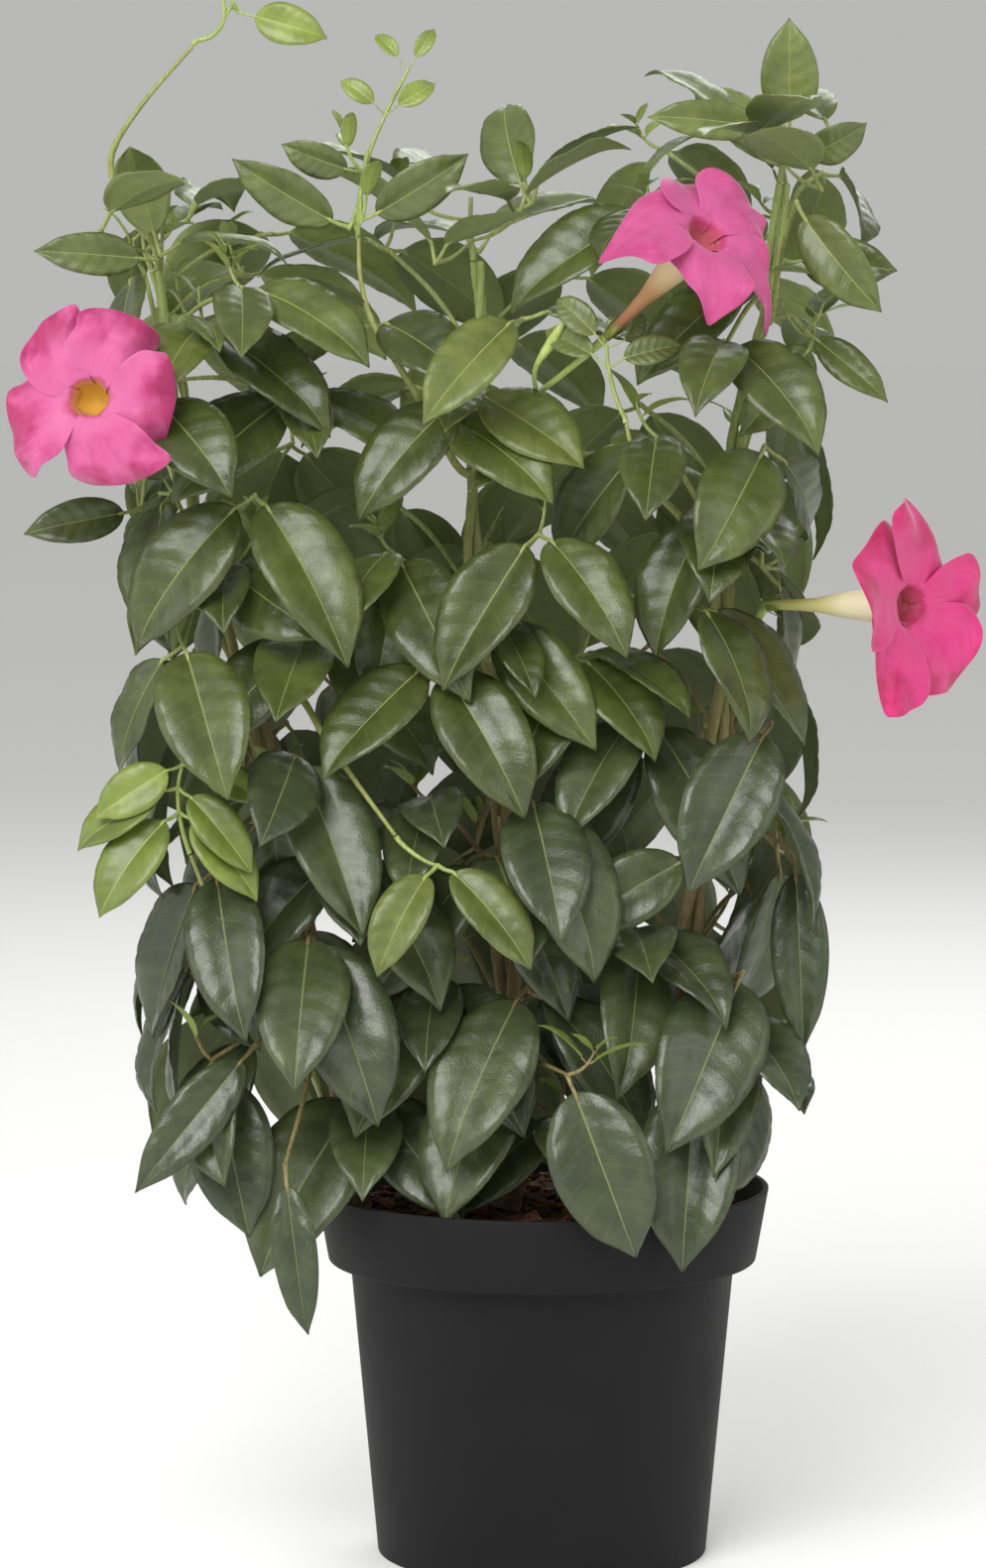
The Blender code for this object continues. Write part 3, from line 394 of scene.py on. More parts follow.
class Mass:
    """Twigs that branch from one stem by a seeded rule, and the leaves on them."""

    def __init__(self, name, hub, radius, space):
        self.name, self.hub, self.space = name, hub, space
        self.twigs, self.leaves, self.sprigs = [], [], []
        self.dice = random.Random(name)
        self.add_twig(hub, [radius * (1 - 0.4 * i / (len(hub) - 1)) for i in range(len(hub))])

    def between(self, low, high):
        return low + (high - low) * self.dice.random()

    def add_twig(self, points, radii):
        self.twigs.append((points, radii))
        self.space.add(twig_room(points, radii), self.name)

    def grow_shoot(self, points, radius):
        """Adds a shoot where nothing is in its way. It starts slim in the heart of its parent."""
        radii = [0.6 * MM] + [radius * (1 - 0.35 * i / (len(points) - 1)) for i in range(1, len(points))]
        clear = self.space.is_clear(twig_room(points, radii), self.name)
        if clear:
            self.add_twig(points, radii)
        return clear

    def add_leaf(self, leaf):
        clear = self.space.is_clear(leaf.blade_room()) and self.space.is_clear(leaf.stalk_room(), self.name)
        if clear:
            self.space.add(leaf.blade_room())
            self.space.add(leaf.stalk_room(), self.name)
            self.leaves.append(leaf)
        return clear

    def grow_leaf(self, shoot, azimuth, droop, swing, length, tone, free=False):
        """Adds a leaf at a shoot's end, turned and lifted in turn until it has room."""
        root = shoot[-1] + (shoot[-2] - shoot[-1]).normalized() * self.between(0.9, 1.5) * MM
        for attempt in range(TRIES):
            slack = 1 + attempt * 0.35
            turned_to = azimuth + self.between(-LEAF_TURN, LEAF_TURN) * slack
            hangs = droop + self.between(-LEAF_LIFT, LEAF_LIFT) * slack
            swung = math.radians(swing + self.between(-LEAF_LIFT, LEAF_LIFT) * slack)
            size = length * self.between(*LEAF_SIZES) * (1 - 0.015 * attempt)
            bend = math.radians(self.between(*LEAF_BENDS))
            fold = math.radians(self.between(*LEAF_FOLDS))
            wide = LEAF_ASPECT * self.between(*LEAF_WIDTHS)
            face = heading(turned_to, hangs - 90)
            along = Matrix.Rotation(swung, 3, face) @ heading(turned_to, hangs)
            stalk = STALK_LENGTH * (0.6 + 0.4 * length / 0.080)
            base = root + (along + face * 0.9).normalized() * stalk
            leaf = Leaf(root, base, along, face, size, size * wide, bend, fold, tone)
            if (free or leaf.is_in_crown()) and self.add_leaf(leaf):
                break

    def grow_marked_leaves(self, place, tone):
        """Adds the single leaves that the outline turns on, each on its own shoot from the hub."""
        for base, tip, wide in MARKED_LEAVES.get(place, ()):
            base, tip = Vector(base), Vector(tip)
            along = (tip - base).normalized()
            face = Vector((0, -1, 0.15 if along.z < 0.3 else -0.35))
            face = (face - along * face.dot(along)).normalized()
            near = min(self.hub[1:-1], key=lambda p: (p - base).length)
            root = base - (along * 0.8 + face * 0.2).normalized() * STALK_LENGTH * 0.7
            length = (tip - base).length
            for attempt in range(TRIES):
                nudge = Vector([self.between(-1, 1) * 0.0015 * attempt for _ in range(3)])
                end = root + nudge
                shoot = smooth_path([near, near.lerp(end, 0.5) + UP * 0.004 + nudge, end], 3)
                start = end + (shoot[-2] - shoot[-1]).normalized() * 1.3 * MM
                bend = math.radians(self.between(16, 34))
                leaf = Leaf(start, base + nudge, along, face, length, length * wide, bend, 0.2, tone)
                if self.space.is_clear(leaf.blade_room()) and self.grow_shoot(shoot, 1.2 * MM):
                    if not self.add_leaf(leaf):
                        self.grow_leaf(shoot, 0, 40, 0, length, tone)
                    break


def stem_axis(stem, share):
    """The middle line of a pair of stems, with a slight sway."""
    foot, head = STEMS[stem]
    sway = 0.004 * math.sin(share * 2 * math.pi) + 0.002 * math.sin(share * 5 * math.pi)
    return foot.lerp(head, share) + Vector((sway, 0.5 * sway, 0))


def axis_at(stem, height):
    foot, head = STEMS[stem]
    return stem_axis(stem, (height - foot.z) / (head.z - foot.z))


def strand_path(stem, strand, steps=None):
    """The points and radii of one of the two stems that twine round each other."""
    foot, head = STEMS[stem]
    rise = head.z - foot.z
    steps = steps or round(rise / STEM_STEP)
    points, radii = [], []
    for i in range(steps + 1):
        share = i / steps
        flare = 1 + (ROOT_FLARE - 1) * max(0.0, 1 - share / 0.05) ** 2
        radius = (STEM_FOOT_RADIUS + (STEM_TIP_RADIUS - STEM_FOOT_RADIUS) * share) * flare
        turn = math.tau * (share * rise / TWIST_PITCH + strand / STRANDS)
        points.append(stem_axis(stem, share) + heading(math.degrees(turn)) * (radius + STRAND_GAP / 2))
        radii.append(radius)
    return points, radii


def strand_body(stem, strand):
    """The stem as a body, cut flat just above the potting mix."""
    rings = limb_rings(*strand_path(stem, strand), STEM_SIDES)
    for point in rings[0]:
        point.z = MIX_TOP + CLEAR
    return loft(rings)


def limb_at(stem, height, azimuth):
    """The strand that lies furthest out at this height and azimuth: its axis there and its radius."""
    found = []
    for strand in range(STRANDS):
        points, radii = strand_path(stem, strand)
        i = next(k for k in range(1, len(points)) if points[k].z >= height or k == len(points) - 1)
        t = min(1.0, (height - points[i - 1].z) / (points[i].z - points[i - 1].z))
        axis = points[i - 1].lerp(points[i], t)
        found.append(((axis - axis_at(stem, height)).dot(heading(azimuth)), axis, radii[i]))
    return max(found, key=lambda strand: strand[0])[1:]


def side_hub(stem, tier, front):
    """The first twig of a mass, which leaves the stem level and then rises beside it."""
    azimuth = LEAN[stem] if front else 180 - LEAN[stem]
    foot, head = STEMS[stem]
    height = foot.z + (head.z - foot.z) * TIERS[tier][0] + TIER_SHIFT[stem] + (0.0 if front else BACK_RISE)
    out = heading(azimuth)
    axis, radius = limb_at(stem, height, azimuth)
    start = axis + out * (radius + JOINT_CLEAR)
    steps = ((0, 0), (0.010, 0), (0.018, 0.014), (0.020, 0.030))
    return smooth_path([start + out * away + UP * up for away, up in steps], 4)


def span(stem, height):
    """How far a stem's foliage reaches to its left and its right at a height, up to its neighbours'."""
    left, right = crown_edges(height)
    here = axis_at(stem, height).x
    names = list(STEMS)
    k = names.index(stem)
    if k > 0:
        left = (here + axis_at(names[k - 1], height).x) / 2
    if k < len(names) - 1:
        right = (here + axis_at(names[k + 1], height).x) / 2
    return left - here, right - here


def fill_side_mass(mass, stem, tier, front):
    """Shoots fan out from the hub in staggered rows, and each hangs a pair of leaves."""
    _, length, droop, swing = TIERS[tier]
    tone = TIER_TONES[tier]
    azimuth = LEAN[stem] if front else 180 - LEAN[stem]
    out, across = heading(azimuth), Vector((1, 0, 0))
    axis = mass.hub[0] - out * 0.004
    low, high = span(stem, axis.z)
    low = low + (EDGE_MARGIN if stem == "left" else SIDE_MARGIN)
    high = high - (EDGE_MARGIN if stem == "right" else SIDE_MARGIN)
    if front:
        mass.grow_marked_leaves(f"{stem}_{tier}_front", tone)
    count = FRONT_SHOOTS if front else BACK_SHOOTS
    outermost = {"left": 0, "right": count - 1}.get(stem)
    for k in sorted(range(count), key=lambda k: mass.dice.random()):
        from_twig = mass.hub[1 + k % 2]
        for attempt in range(TRIES):
            slack = 1 + 0.2 * attempt
            lateral = low + (high - low) * ((k + 0.5) / count) + mass.between(-0.005, 0.005) * slack
            lift = ROWS[k % 3] + mass.between(-0.010, 0.010) * slack
            reach = SHOOT_REACH[(k + attempt) % 2] + mass.between(-0.005, 0.005) * slack
            if k == outermost:
                reach *= 0.55
            end = axis + out * (reach - abs(lateral) * 0.22) + across * lateral + UP * (lift + 0.010)
            shoot = smooth_path([from_twig, from_twig.lerp(end, 0.5) + UP * 0.005, end], 3)
            if mass.grow_shoot(shoot, SHOOT_RADIUS):
                break
        else:
            continue
        edge = 1.0 if (stem == "left" and lateral < 0) or (stem == "right" and lateral > 0) else 0.5
        outwards = lateral / FAN_WIDTH * FAN_TURN * edge
        turn = azimuth + (outwards if front else -outwards)
        if k == outermost:
            turn = math.copysign(OUTERMOST_TURNS[0 if front else 1], lateral)
        for way in (-1, 1):
            mass.grow_leaf(shoot, turn + way * PAIR_TURN, droop, way * swing, length, tone)
        if front and k % 2 == 0:
            mass.grow_leaf(shoot, turn, droop - 34, mass.between(-12, 12), length * 0.80, tone)


def fill_top_mass(mass, stem):
    """The crown of a stem, whose shoots rise round its tip and hold their leaves out and up."""
    length, droop, swing = TOP_LEAF
    mass.grow_marked_leaves(f"{stem}_top", "fresh")
    for k in range(TOP_SHOOTS):
        azimuth = 360 * (k + 0.5) / TOP_SHOOTS + mass.between(-16, 16)
        from_twig = mass.hub[1 + k % 2]
        for attempt in range(TRIES):
            out = heading(azimuth + mass.between(-10, 10) * attempt)
            end = from_twig + out * mass.between(0.016, 0.034) + UP * mass.between(-0.012, 0.010)
            shoot = smooth_path([from_twig, from_twig.lerp(end, 0.5) - UP * 0.002, end], 3)
            if mass.grow_shoot(shoot, 1.1 * MM):
                break
        else:
            continue
        for way in (-1, 1):
            lie = droop + mass.between(-30, 40)
            mass.grow_leaf(shoot, azimuth + way * 34, lie, way * swing, length, "fresh")


def fill_leader(mass, place):
    """Pairs of young leaves up the end of a side shoot, each pair turned across the one below it."""
    _, pairs, length, swing = LEADERS[place]
    mass.grow_marked_leaves(place, "fresh" if place == "thin" else "young")
    for k in range(pairs):
        shoot = mass.hub[: max(1, len(mass.hub) - 1 - k) + 1]
        size = length * (0.66 + 0.34 * min(1.0, k / 2 + 0.3))
        for way in (-1, 1):
            swung = way * (swing - 18 * k)
            mass.grow_leaf(shoot, way * PAIR_TURN, LEADER_DROOP, swung, size, "young", free=True)


def flower_frame(flower):
    """The way it faces, and two directions across it, turned as its petals are."""
    axis = flower.faces.normalized()
    across = axis.cross(UP).normalized()
    other = across.cross(axis)
    turn = math.radians(flower.turn)
    first = across * math.cos(turn) + other * math.sin(turn)
    return axis, first, axis.cross(first)


def funnel_point(flower, share):
    """The middle of the tube, a share of its length down from the mouth, as it bends away from its face."""
    neck = flower.mouth - flower.faces.normalized() * FUNNEL_LENGTH * 0.3
    foot = neck - flower.tube.normalized() * FUNNEL_LENGTH * 0.7
    return flower.mouth * (1 - share) ** 2 + neck * 2 * share * (1 - share) + foot * share**2


def light_rooms(flower):
    """The spaces in front of a flower and of a tube that is seen from its side, which leaves stay out of."""
    rooms = [(flower.mouth - Vector((0, 0.006, 0.004)), flower.reach * 0.62)]
    if flower.reflex > 0.5:
        rooms.append((flower.mouth + Vector((0.022, 0.014, -0.012)), flower.reach * 0.6))
    if abs(flower.tube.x) > 0.5:
        rooms += [(funnel_point(flower, share) - Vector((0, 0.010, 0)), 9 * MM) for share in (0.5, 0.8, 1.05)]
    return [limb([start, start - Vector((0, 0.054, 0))], [radius] * 2, 8) for start, radius in rooms]


def away_from(stem, height, target, clearance):
    """Where a limb leaves a stem towards a target, so far clear of it, and the level way it takes."""
    bare = target - axis_at(stem, height)
    point, radius = limb_at(stem, height, math.degrees(math.atan2(bare.x, -bare.y)))
    way = Vector((target.x - point.x, target.y - point.y, 0)).normalized()
    return point + way * (radius + clearance), way


def flower_stalk(flower):
    """The stalk and trumpet: points and radii from the stem to the mouth."""
    foot = funnel_point(flower, 1.0)
    start, way = away_from(flower.stem, flower.height, foot, CLEAR)
    points = smooth_path([start, start + way * 0.008, start.lerp(foot, 0.6) - UP * 0.003, foot], 5)
    points += [funnel_point(flower, s) for s in (0.74, 0.58, 0.30, 0.0)]
    radii = [FLOWER_STALK_RADIUS] * 4 + [2.0 * MM, 2.7 * MM, 4.6 * MM, 6.8 * MM, THROAT_RADIUS]
    return points, radii


def petal_line(flower, number, share, rise=0.0):
    """A point on a petal's middle line, and the directions across it and out of the flower's face."""
    axis, first, second = flower_frame(flower)
    turn = math.radians(PETAL_ANGLE * number)
    out = first * math.cos(turn) + second * math.sin(turn)
    side = axis.cross(out)
    reach = flower.reach
    drop = flower.reflex * reach * PETAL_DROP * share**2
    along = flower.mouth + out * reach * share + axis * (rise * MM - drop)
    return along + side * reach * share * PETAL_SWEEP, side, axis


def petal_body(flower, number):
    """The petal as its solid has it, to keep leaves clear of it."""
    half = flower.reach * flower.spread
    tilt = math.radians(PETAL_TILT)
    rings = []
    for share, rise, wide in ((0.16, -2.5, 0.25), (0.32, 0.5, 0.55), (0.62, 2.5, 1.0), (0.86, 1.0, 0.85)):
        point, side, axis = petal_line(flower, number, share, rise)
        edge = side * half * wide * math.cos(tilt) + axis * half * wide * math.sin(tilt)
        lift = axis * PETAL_THICKNESS / 2
        rings.append([point - edge, point - lift, point + edge, point + lift])
    tip, side, axis = petal_line(flower, number, 1.0, -0.5)
    return loft(rings, tip + side * flower.reach * (flower.hook - PETAL_SWEEP))


def end_of(points):
    """Where a limb that grows on from these points starts, just clear of their end, and its direction."""
    ahead = (points[-1] - points[-2]).normalized()
    return points[-1] + ahead * JOINT_CLEAR, ahead


def bough_path(place):
    """The points and radii of a side shoot, from clear of its stem to its tip."""
    stem, height, knots = BOUGHS[place]
    knots = [Vector(k) for k in knots]
    if height is None:
        start, way = end_of(strand_path(stem, 1)[0])
    else:
        start, way = away_from(stem, height, knots[0], JOINT_CLEAR * 2)
    points = smooth_path([start, start + way * (0.010 if height is None else 0.008)] + knots, BOUGH_POINTS)
    taper = BOUGH_TIP_RADIUS - BOUGH_RADIUS
    return points, [BOUGH_RADIUS + taper * i / (BOUGH_POINTS - 1) for i in range(BOUGH_POINTS)]


def pot_profile():
    """From the underside's edge, up the outside, over the rim and down the inside."""
    flange_foot = POT_HEIGHT - FLANGE_HEIGHT
    return [
        (FOOT_RADIUS, 0),
        (BODY_TOP_RADIUS, flange_foot),
        (FLANGE_FOOT_RADIUS, flange_foot),
        (RIM_RADIUS, POT_HEIGHT),
        (RIM_RADIUS - LIP, POT_HEIGHT),
        (FLANGE_FOOT_RADIUS - WALL, flange_foot + 4 * MM),
        (BODY_TOP_RADIUS - WALL, flange_foot - 1 * MM),
        (FOOT_RADIUS - WALL, WALL + 1 * MM),
    ]


def mix_profile():
    """The potting mix, a little clear of the pot all round."""
    flange_foot = POT_HEIGHT - FLANGE_HEIGHT
    slope = (MIX_TOP - flange_foot - 4 * MM) / (FLANGE_HEIGHT - 4 * MM)
    wall_at_top = (FLANGE_FOOT_RADIUS - WALL) + (RIM_RADIUS - LIP - FLANGE_FOOT_RADIUS + WALL) * slope
    return [
        (FOOT_RADIUS - WALL - 0.8 * MM, WALL + 1.6 * MM),
        (BODY_TOP_RADIUS - WALL - 0.6 * MM, flange_foot - 0.6 * MM),
        (FLANGE_FOOT_RADIUS - WALL - 0.8 * MM, flange_foot + 5 * MM),
        (wall_at_top - 0.6 * MM, MIX_TOP),
    ]


def turned_body(profile, bottom, top):
    """The profile turned about the upright axis, to keep leaves clear of it."""
    angles = round_angles(POT_SIDES)
    profile = [(0.001 * MM, bottom), *profile, (0.001 * MM, top)]
    return loft([[Vector((r * math.cos(a), r * math.sin(a), z)) for a in angles] for r, z in profile])


def grow_plant():
    """Every mass of foliage, filled in the source's order, so that its seeded dice fall the same."""
    space = Space()
    space.add(turned_body(pot_profile(), 0, WALL + 1 * MM))
    space.add(turned_body(mix_profile(), WALL + 1.6 * MM, MIX_TOP))
    for stem in STEMS:
        for strand in range(STRANDS):
            space.add(strand_body(stem, strand))
    for flower in FLOWERS.values():
        space.add(limb(*flower_stalk(flower), FLOWER_SIDES))
        for body in [petal_body(flower, number) for number in range(PETALS)] + light_rooms(flower):
            space.add(body)

    masses = []
    for place in BOUGHS:
        points, radii = bough_path(place)
        space.add(limb(points, radii, 4))
        start, ahead = end_of(points)
        hub = smooth_path([start, start + ahead * 0.003] + [Vector(p) for p in LEADERS[place][0]], 6)
        masses.append((Mass(f"leaves_{place}", hub, BOUGH_TIP_RADIUS * 0.9, space), "young", place))
    for stem in STEMS:
        points, radii = strand_path(stem, 0)
        start, ahead = end_of(points)
        hub = smooth_path([start, start + ahead * 0.012, start + ahead * 0.010 + UP * 0.016], 4)
        masses.append((Mass(f"leaves_{stem}_top", hub, radii[-1], space), "top", stem))
    for front in (True, False):
        for tier in TIERS:
            for stem in STEMS:
                name = f"leaves_{stem}_{tier}_{'front' if front else 'back'}"
                mass = Mass(name, side_hub(stem, tier, front), TWIG_RADIUS, space)
                masses.append((mass, tier, (stem, front)))
    for mass, tier, place in masses:
        if tier == "young":
            fill_leader(mass, place)
        elif tier == "top":
            fill_top_mass(mass, place)
        else:
            fill_side_mass(mass, place[0], tier, place[1])
    return masses


def paint(hex_code):
    """A colour as linear light, from its sRGB hex value."""
    parts = [int(hex_code[i : i + 2], 16) / 255 for i in (1, 3, 5)]
    return (*[p / 12.92 if p <= 0.04045 else ((p + 0.055) / 1.055) ** 2.4 for p in parts], 1)


def mixed(first, second, share):
    """The first colour with a share of the second, both as sRGB hex values."""
    return tuple(a + (b - a) * share for a, b in zip(paint(first), paint(second)))


def painted(value):
    return paint(value) if isinstance(value, str) else value


def shades(colours, places):
    """The stops of a ramp, from a row of hex colours and their places."""
    return tuple(zip(places, colours.split()))


def give(node, inputs):
    """Gives inputs a value, a hex colour, or a link from a socket or from another node's first output."""
    for name, value in inputs.items():
        if isinstance(value, bpy.types.Node):
            value = value.outputs[0]
        if isinstance(value, bpy.types.NodeSocket):
            node.id_data.links.new(value, node.inputs[name])
        else:
            node.inputs[name].default_value = painted(value)


def new_material(name, **values):
    """A material with one shader, whose plain values are set on its own sockets (Coat_IOR is "Coat IOR")."""
    material = bpy.data.materials.new(name)
    material.use_nodes = True
    shader = material.node_tree.nodes["Principled BSDF"]
    give(shader, {socket.replace("_", " "): value for socket, value in values.items()})
    return material, shader


def add_node(material, kind, *values, stops=(), **named):
    """Adds a node with its settings, what its inputs get, in turn or by name, and its ramp's stops."""
    node = material.node_tree.nodes.new("ShaderNode" + kind)
    for name in [name for name in named if name.islower()]:
        setattr(node, name, named.pop(name))
    give(node, {**dict(enumerate(values)), **named})
    for i, (place, colour) in enumerate(stops):
        stop = node.color_ramp.elements[i] if i < 2 else node.color_ramp.elements.new(place)
        stop.position = place
        stop.color = painted(colour)
    return node


GREY = (0.5, 0.5, 0.5, 1)
DARK = (0.13, 0.13, 0.13, 1)
BLACK = (0, 0, 0, 1)
WHITE = (1, 1, 1, 1)


def waxy_leaf(name, deep, pale, rib, gloss, depth):
    """The upper side of a grown leaf: a waxy cuticle, so it shines, over tissue that side veins quilt."""
    material, shader = new_material(name, IOR=1.45, Coat_Weight=0.35, Coat_Roughness=0.22, Coat_IOR=1.45)
    coordinates = add_node(material, "TexCoord")
    place = coordinates.outputs["Object"]
    patches = add_node(material, "TexNoise", place, Scale=1 / (14 * MM), Detail=3)
    tissue = add_node(material, "ValToRGB", patches, stops=((0.36, deep), (0.66, pale)))
    # side veins, 7 a side, which slant up from the midrib as the grooves in the mesh do
    flat = add_node(material, "SeparateXYZ", coordinates.outputs["UV"])
    off_rib = add_node(material, "Math", flat, 0.5, operation="SUBTRACT")
    outwards = add_node(material, "Math", off_rib, operation="ABSOLUTE")
    slant = add_node(material, "Math", outwards, -2.25, 0.125, operation="MULTIPLY_ADD")
    veins = LEAF_ROWS / VEIN_ROWS
    course = add_node(material, "Math", flat.outputs["Y"], veins, slant, operation="MULTIPLY_ADD")
    to_vein = add_node(material, "Math", course, 0.5, operation="PINGPONG")
    vein = add_node(material, "ValToRGB", to_vein, stops=((0, DARK), (0.06, BLACK)))
    veined = add_node(material, "MixRGB", vein, tissue, rib)
    bloom = add_node(material, "TexNoise", place, Scale=1 / (5 * MM), Detail=4)
    shine = add_node(material, "MapRange", bloom, 0.3, 0.7, gloss - 0.06, gloss + 0.10)
    # cells of just under a millimetre, shallow furrows along the veins, and swells a few millimetres wide,
    # which break up what the wax mirrors
    cells = add_node(material, "TexNoise", place, Scale=1 / (0.9 * MM), Detail=2)
    furrow = add_node(material, "Math", to_vein, 2.2, cells, operation="MULTIPLY_ADD")
    relief = add_node(material, "Bump", Height=furrow, Strength=depth, Distance=0.35 * MM)
    swells = add_node(material, "TexNoise", place, Scale=1 / (7 * MM), Detail=1)
    uneven = add_node(material, "Bump", Height=swells, Strength=depth, Distance=0.9 * MM, Normal=relief)
    give(shader, {"Base Color": veined, "Roughness": shine, "Normal": uneven})
    return material


def two_shades(material, shader, place, tones, grain, strength, depth):
    """Mottles a skin from deep to pale, with a relief of its own grain, strength and depth to go with it."""
    scale, detail = grain
    pattern = add_node(material, "TexNoise", place, Scale=scale, Detail=detail)
    shade = add_node(material, "ValToRGB", pattern, stops=zip((0.35, 0.65), tones))
    relief = add_node(material, "Bump", Height=pattern, Strength=strength, Distance=depth)
    give(shader, {"Base Color": shade, "Normal": relief})
    return material


def matte_leaf(name, deep, pale):
    """The under side of a leaf or its midrib: matte, paler, with fine tissue showing."""
    material, shader = new_material(name, Roughness=0.58, IOR=1.42)
    place = add_node(material, "TexCoord").outputs["Object"]
    return two_shades(material, shader, place, (deep, pale), (1 / (3 * MM), 3), 0.25, 0.15 * MM)


def shoot_skin(name, deep, pale):
    """A green shoot's smooth skin, with fine streaks, about a millimetre apart and 11 mm long."""
    material, shader = new_material(name, Roughness=0.45, IOR=1.45)
    place = add_node(material, "TexCoord").outputs["Object"]
    along = add_node(material, "Mapping", place, Scale=(0.9 / MM, 0.9 / MM, 0.09 / MM))
    return two_shades(material, shader, along, (deep, pale), (1, 3), 0.12, 0.2 * MM)


def crumb(name, deep, pale, grain):
    """Composted bark or a chip of it: dull, fibrous and full of small holes."""
    material, shader = new_material(name, Roughness=0.92, IOR=1.35)
    place = add_node(material, "TexCoord").outputs["Object"]
    return two_shades(material, shader, place, (deep, pale), (1 / grain, 6), 0.9, 0.8 * MM)


BARK_TONES = "#5a4530 #8a7150 #94855a #8b9457 #9aa862", (0.10, 0.28, 0.50, 0.78, 1)


def climbing_bark():
    """Young bark: grey brown and cracked at the foot, greener and smoother the higher it climbs."""
    material, shader = new_material("young_bark", Roughness=0.78, IOR=1.4)
    place = add_node(material, "TexCoord").outputs["Object"]
    height = add_node(material, "SeparateXYZ", place).outputs["Z"]
    blotches = add_node(material, "TexNoise", place, Scale=1 / (9 * MM), Detail=4)
    age = add_node(material, "MapRange", height, MIX_TOP, 0.56, 0, 0.85)
    uneven = add_node(material, "Math", blotches, 0.35, age, operation="MULTIPLY_ADD")
    shade = add_node(material, "ValToRGB", uneven, stops=shades(*BARK_TONES))
    # fibres 0.7 mm apart, with cracks that run about 6 mm along them
    fibres = add_node(material, "Mapping", place, Scale=(1.4 / MM, 1.4 / MM, 0.16 / MM))
    cracks = add_node(material, "TexNoise", fibres, Scale=1, Detail=5)
    dark = add_node(material, "ValToRGB", cracks, stops=((0.30, GREY), (0.55, WHITE)))
    cracked = add_node(material, "MixRGB", 0.7, shade, dark, blend_type="MULTIPLY")
    relief = add_node(material, "Bump", Height=cracks, Strength=0.7, Distance=0.5 * MM)
    give(shader, {"Base Color": cracked, "Normal": relief})
    return material


def moulded_plastic():
    """Recycled polypropylene, injection moulded: near black, with a fine spark texture and a soft sheen."""
    material, shader = new_material("black_polypropylene", IOR=1.49, Specular_IOR_Level=0.22)
    place = add_node(material, "TexCoord").outputs["Object"]
    handling = add_node(material, "TexNoise", place, Scale=1 / (40 * MM), Detail=5)
    shade = add_node(material, "ValToRGB", handling, stops=shades("#0f0f10 #161617", (0.30, 0.70)))
    dull = add_node(material, "MapRange", handling, 0.3, 0.7, 0.58, 0.70)
    spark = add_node(material, "TexNoise", place, Scale=1 / (0.7 * MM), Detail=2)
    relief = add_node(material, "Bump", Height=spark, Strength=0.25, Distance=0.08 * MM)
    give(shader, {"Base Color": shade, "Roughness": dull, "Normal": relief})
    return material


def petal_skin(name, stops):
    """A petal: soft, velvety cells that scatter light, deep pink in the throat and paler where it opens."""
    material, shader = new_material(
        name, Roughness=0.55, IOR=1.38, Sheen_Weight=0.25, Sheen_Roughness=0.4,
        Subsurface_Weight=0.12, Subsurface_Radius=(0.004, 0.0015, 0.002), Subsurface_Scale=1,
    )
    coordinates = add_node(material, "TexCoord")
    flat = add_node(material, "SeparateXYZ", coordinates.outputs["UV"])
    cloud = add_node(material, "TexNoise", coordinates.outputs["Object"], Scale=1 / (13 * MM), Detail=3)
    uneven = add_node(material, "Math", cloud, 2.2, -0.1, operation="MULTIPLY_ADD")
    level = add_node(material, "Math", uneven, flat.outputs["Y"], operation="MULTIPLY")
    shade = add_node(material, "ValToRGB", level, stops=stops)
    # veins that run the length of the petal, with paler streaks between them
    fans = add_node(material, "Mapping", coordinates.outputs["UV"], Scale=(17, 2, 1))
    veins = add_node(material, "TexNoise", fans, Scale=1, Detail=2)
    streaks = add_node(material, "MapRange", veins, 0.4, 0.8, 0, 0.08)
    streaked = add_node(material, "MixRGB", streaks, shade, "#e9a3c4")
    relief = add_node(material, "Bump", Height=veins, Strength=0.18, Distance=0.25 * MM)
    give(shader, {"Base Color": streaked, "Normal": relief})
    return material


def trumpet_skin(name, stops, roughness):
    """The tube of a flower, whose colour follows the way down from its mouth."""
    material, shader = new_material(
        name, Roughness=roughness, IOR=1.4, Subsurface_Weight=0.08, Subsurface_Radius=(0.003, 0.002, 0.001)
    )
    depth = add_node(material, "Attribute", attribute_name="depth").outputs["Fac"]
    give(shader, {"Base Color": add_node(material, "ValToRGB", depth, stops=stops)})
    return material


# The greens of each age of leaf: its midrib, its under side, its two upper sides, each from deep to pale,
# and how rough its wax is
AGES = {
    "old": ("#6f7a4a", "#58623f", ("#333d26", "#404b2c"), ("#3a4527", "#4a5530"), 0.31),
    "full": ("#7b8648", "#5f6a3c", ("#38421b", "#475223"), ("#404b1e", "#525d28"), 0.33),
    "ripe": ("#8e9850", "#6f7a42", ("#4c5623", "#5d672c"), ("#566027", "#687233"), 0.38),
    "fresh": ("#8e9854", "#737d4a", ("#515b2d", "#626c36"), ("#5f6933", "#727c3f"), 0.42),
    "young": ("#a0ad58", "#828f48", ("#5b6a28", "#6e7e30"), ("#66762f", "#80903e"), 0.42),
}


def leaf_materials():
    """For each age of leaf, its midrib, its under side, and its upper sides."""
    made = {}
    for age, (rib, under, first, second, gloss) in AGES.items():
        depth = 0.16 if age == "young" else 0.5
        made[age] = (
            matte_leaf(f"{age}_midrib", mixed(rib, under, 0.3), rib),
            matte_leaf(f"{age}_leaf_under", under, mixed(under, rib, 0.25)),
            [
                waxy_leaf(f"{age}_leaf_deep", *first, rib, gloss, depth),
                waxy_leaf(f"{age}_leaf_pale", *second, rib, gloss + 0.03, depth),
            ],
        )
    return made


def start_piece():
    """Leaves nothing selected, so that what comes next acts on the new piece alone."""
    bpy.ops.object.select_all(action="DESELECT")


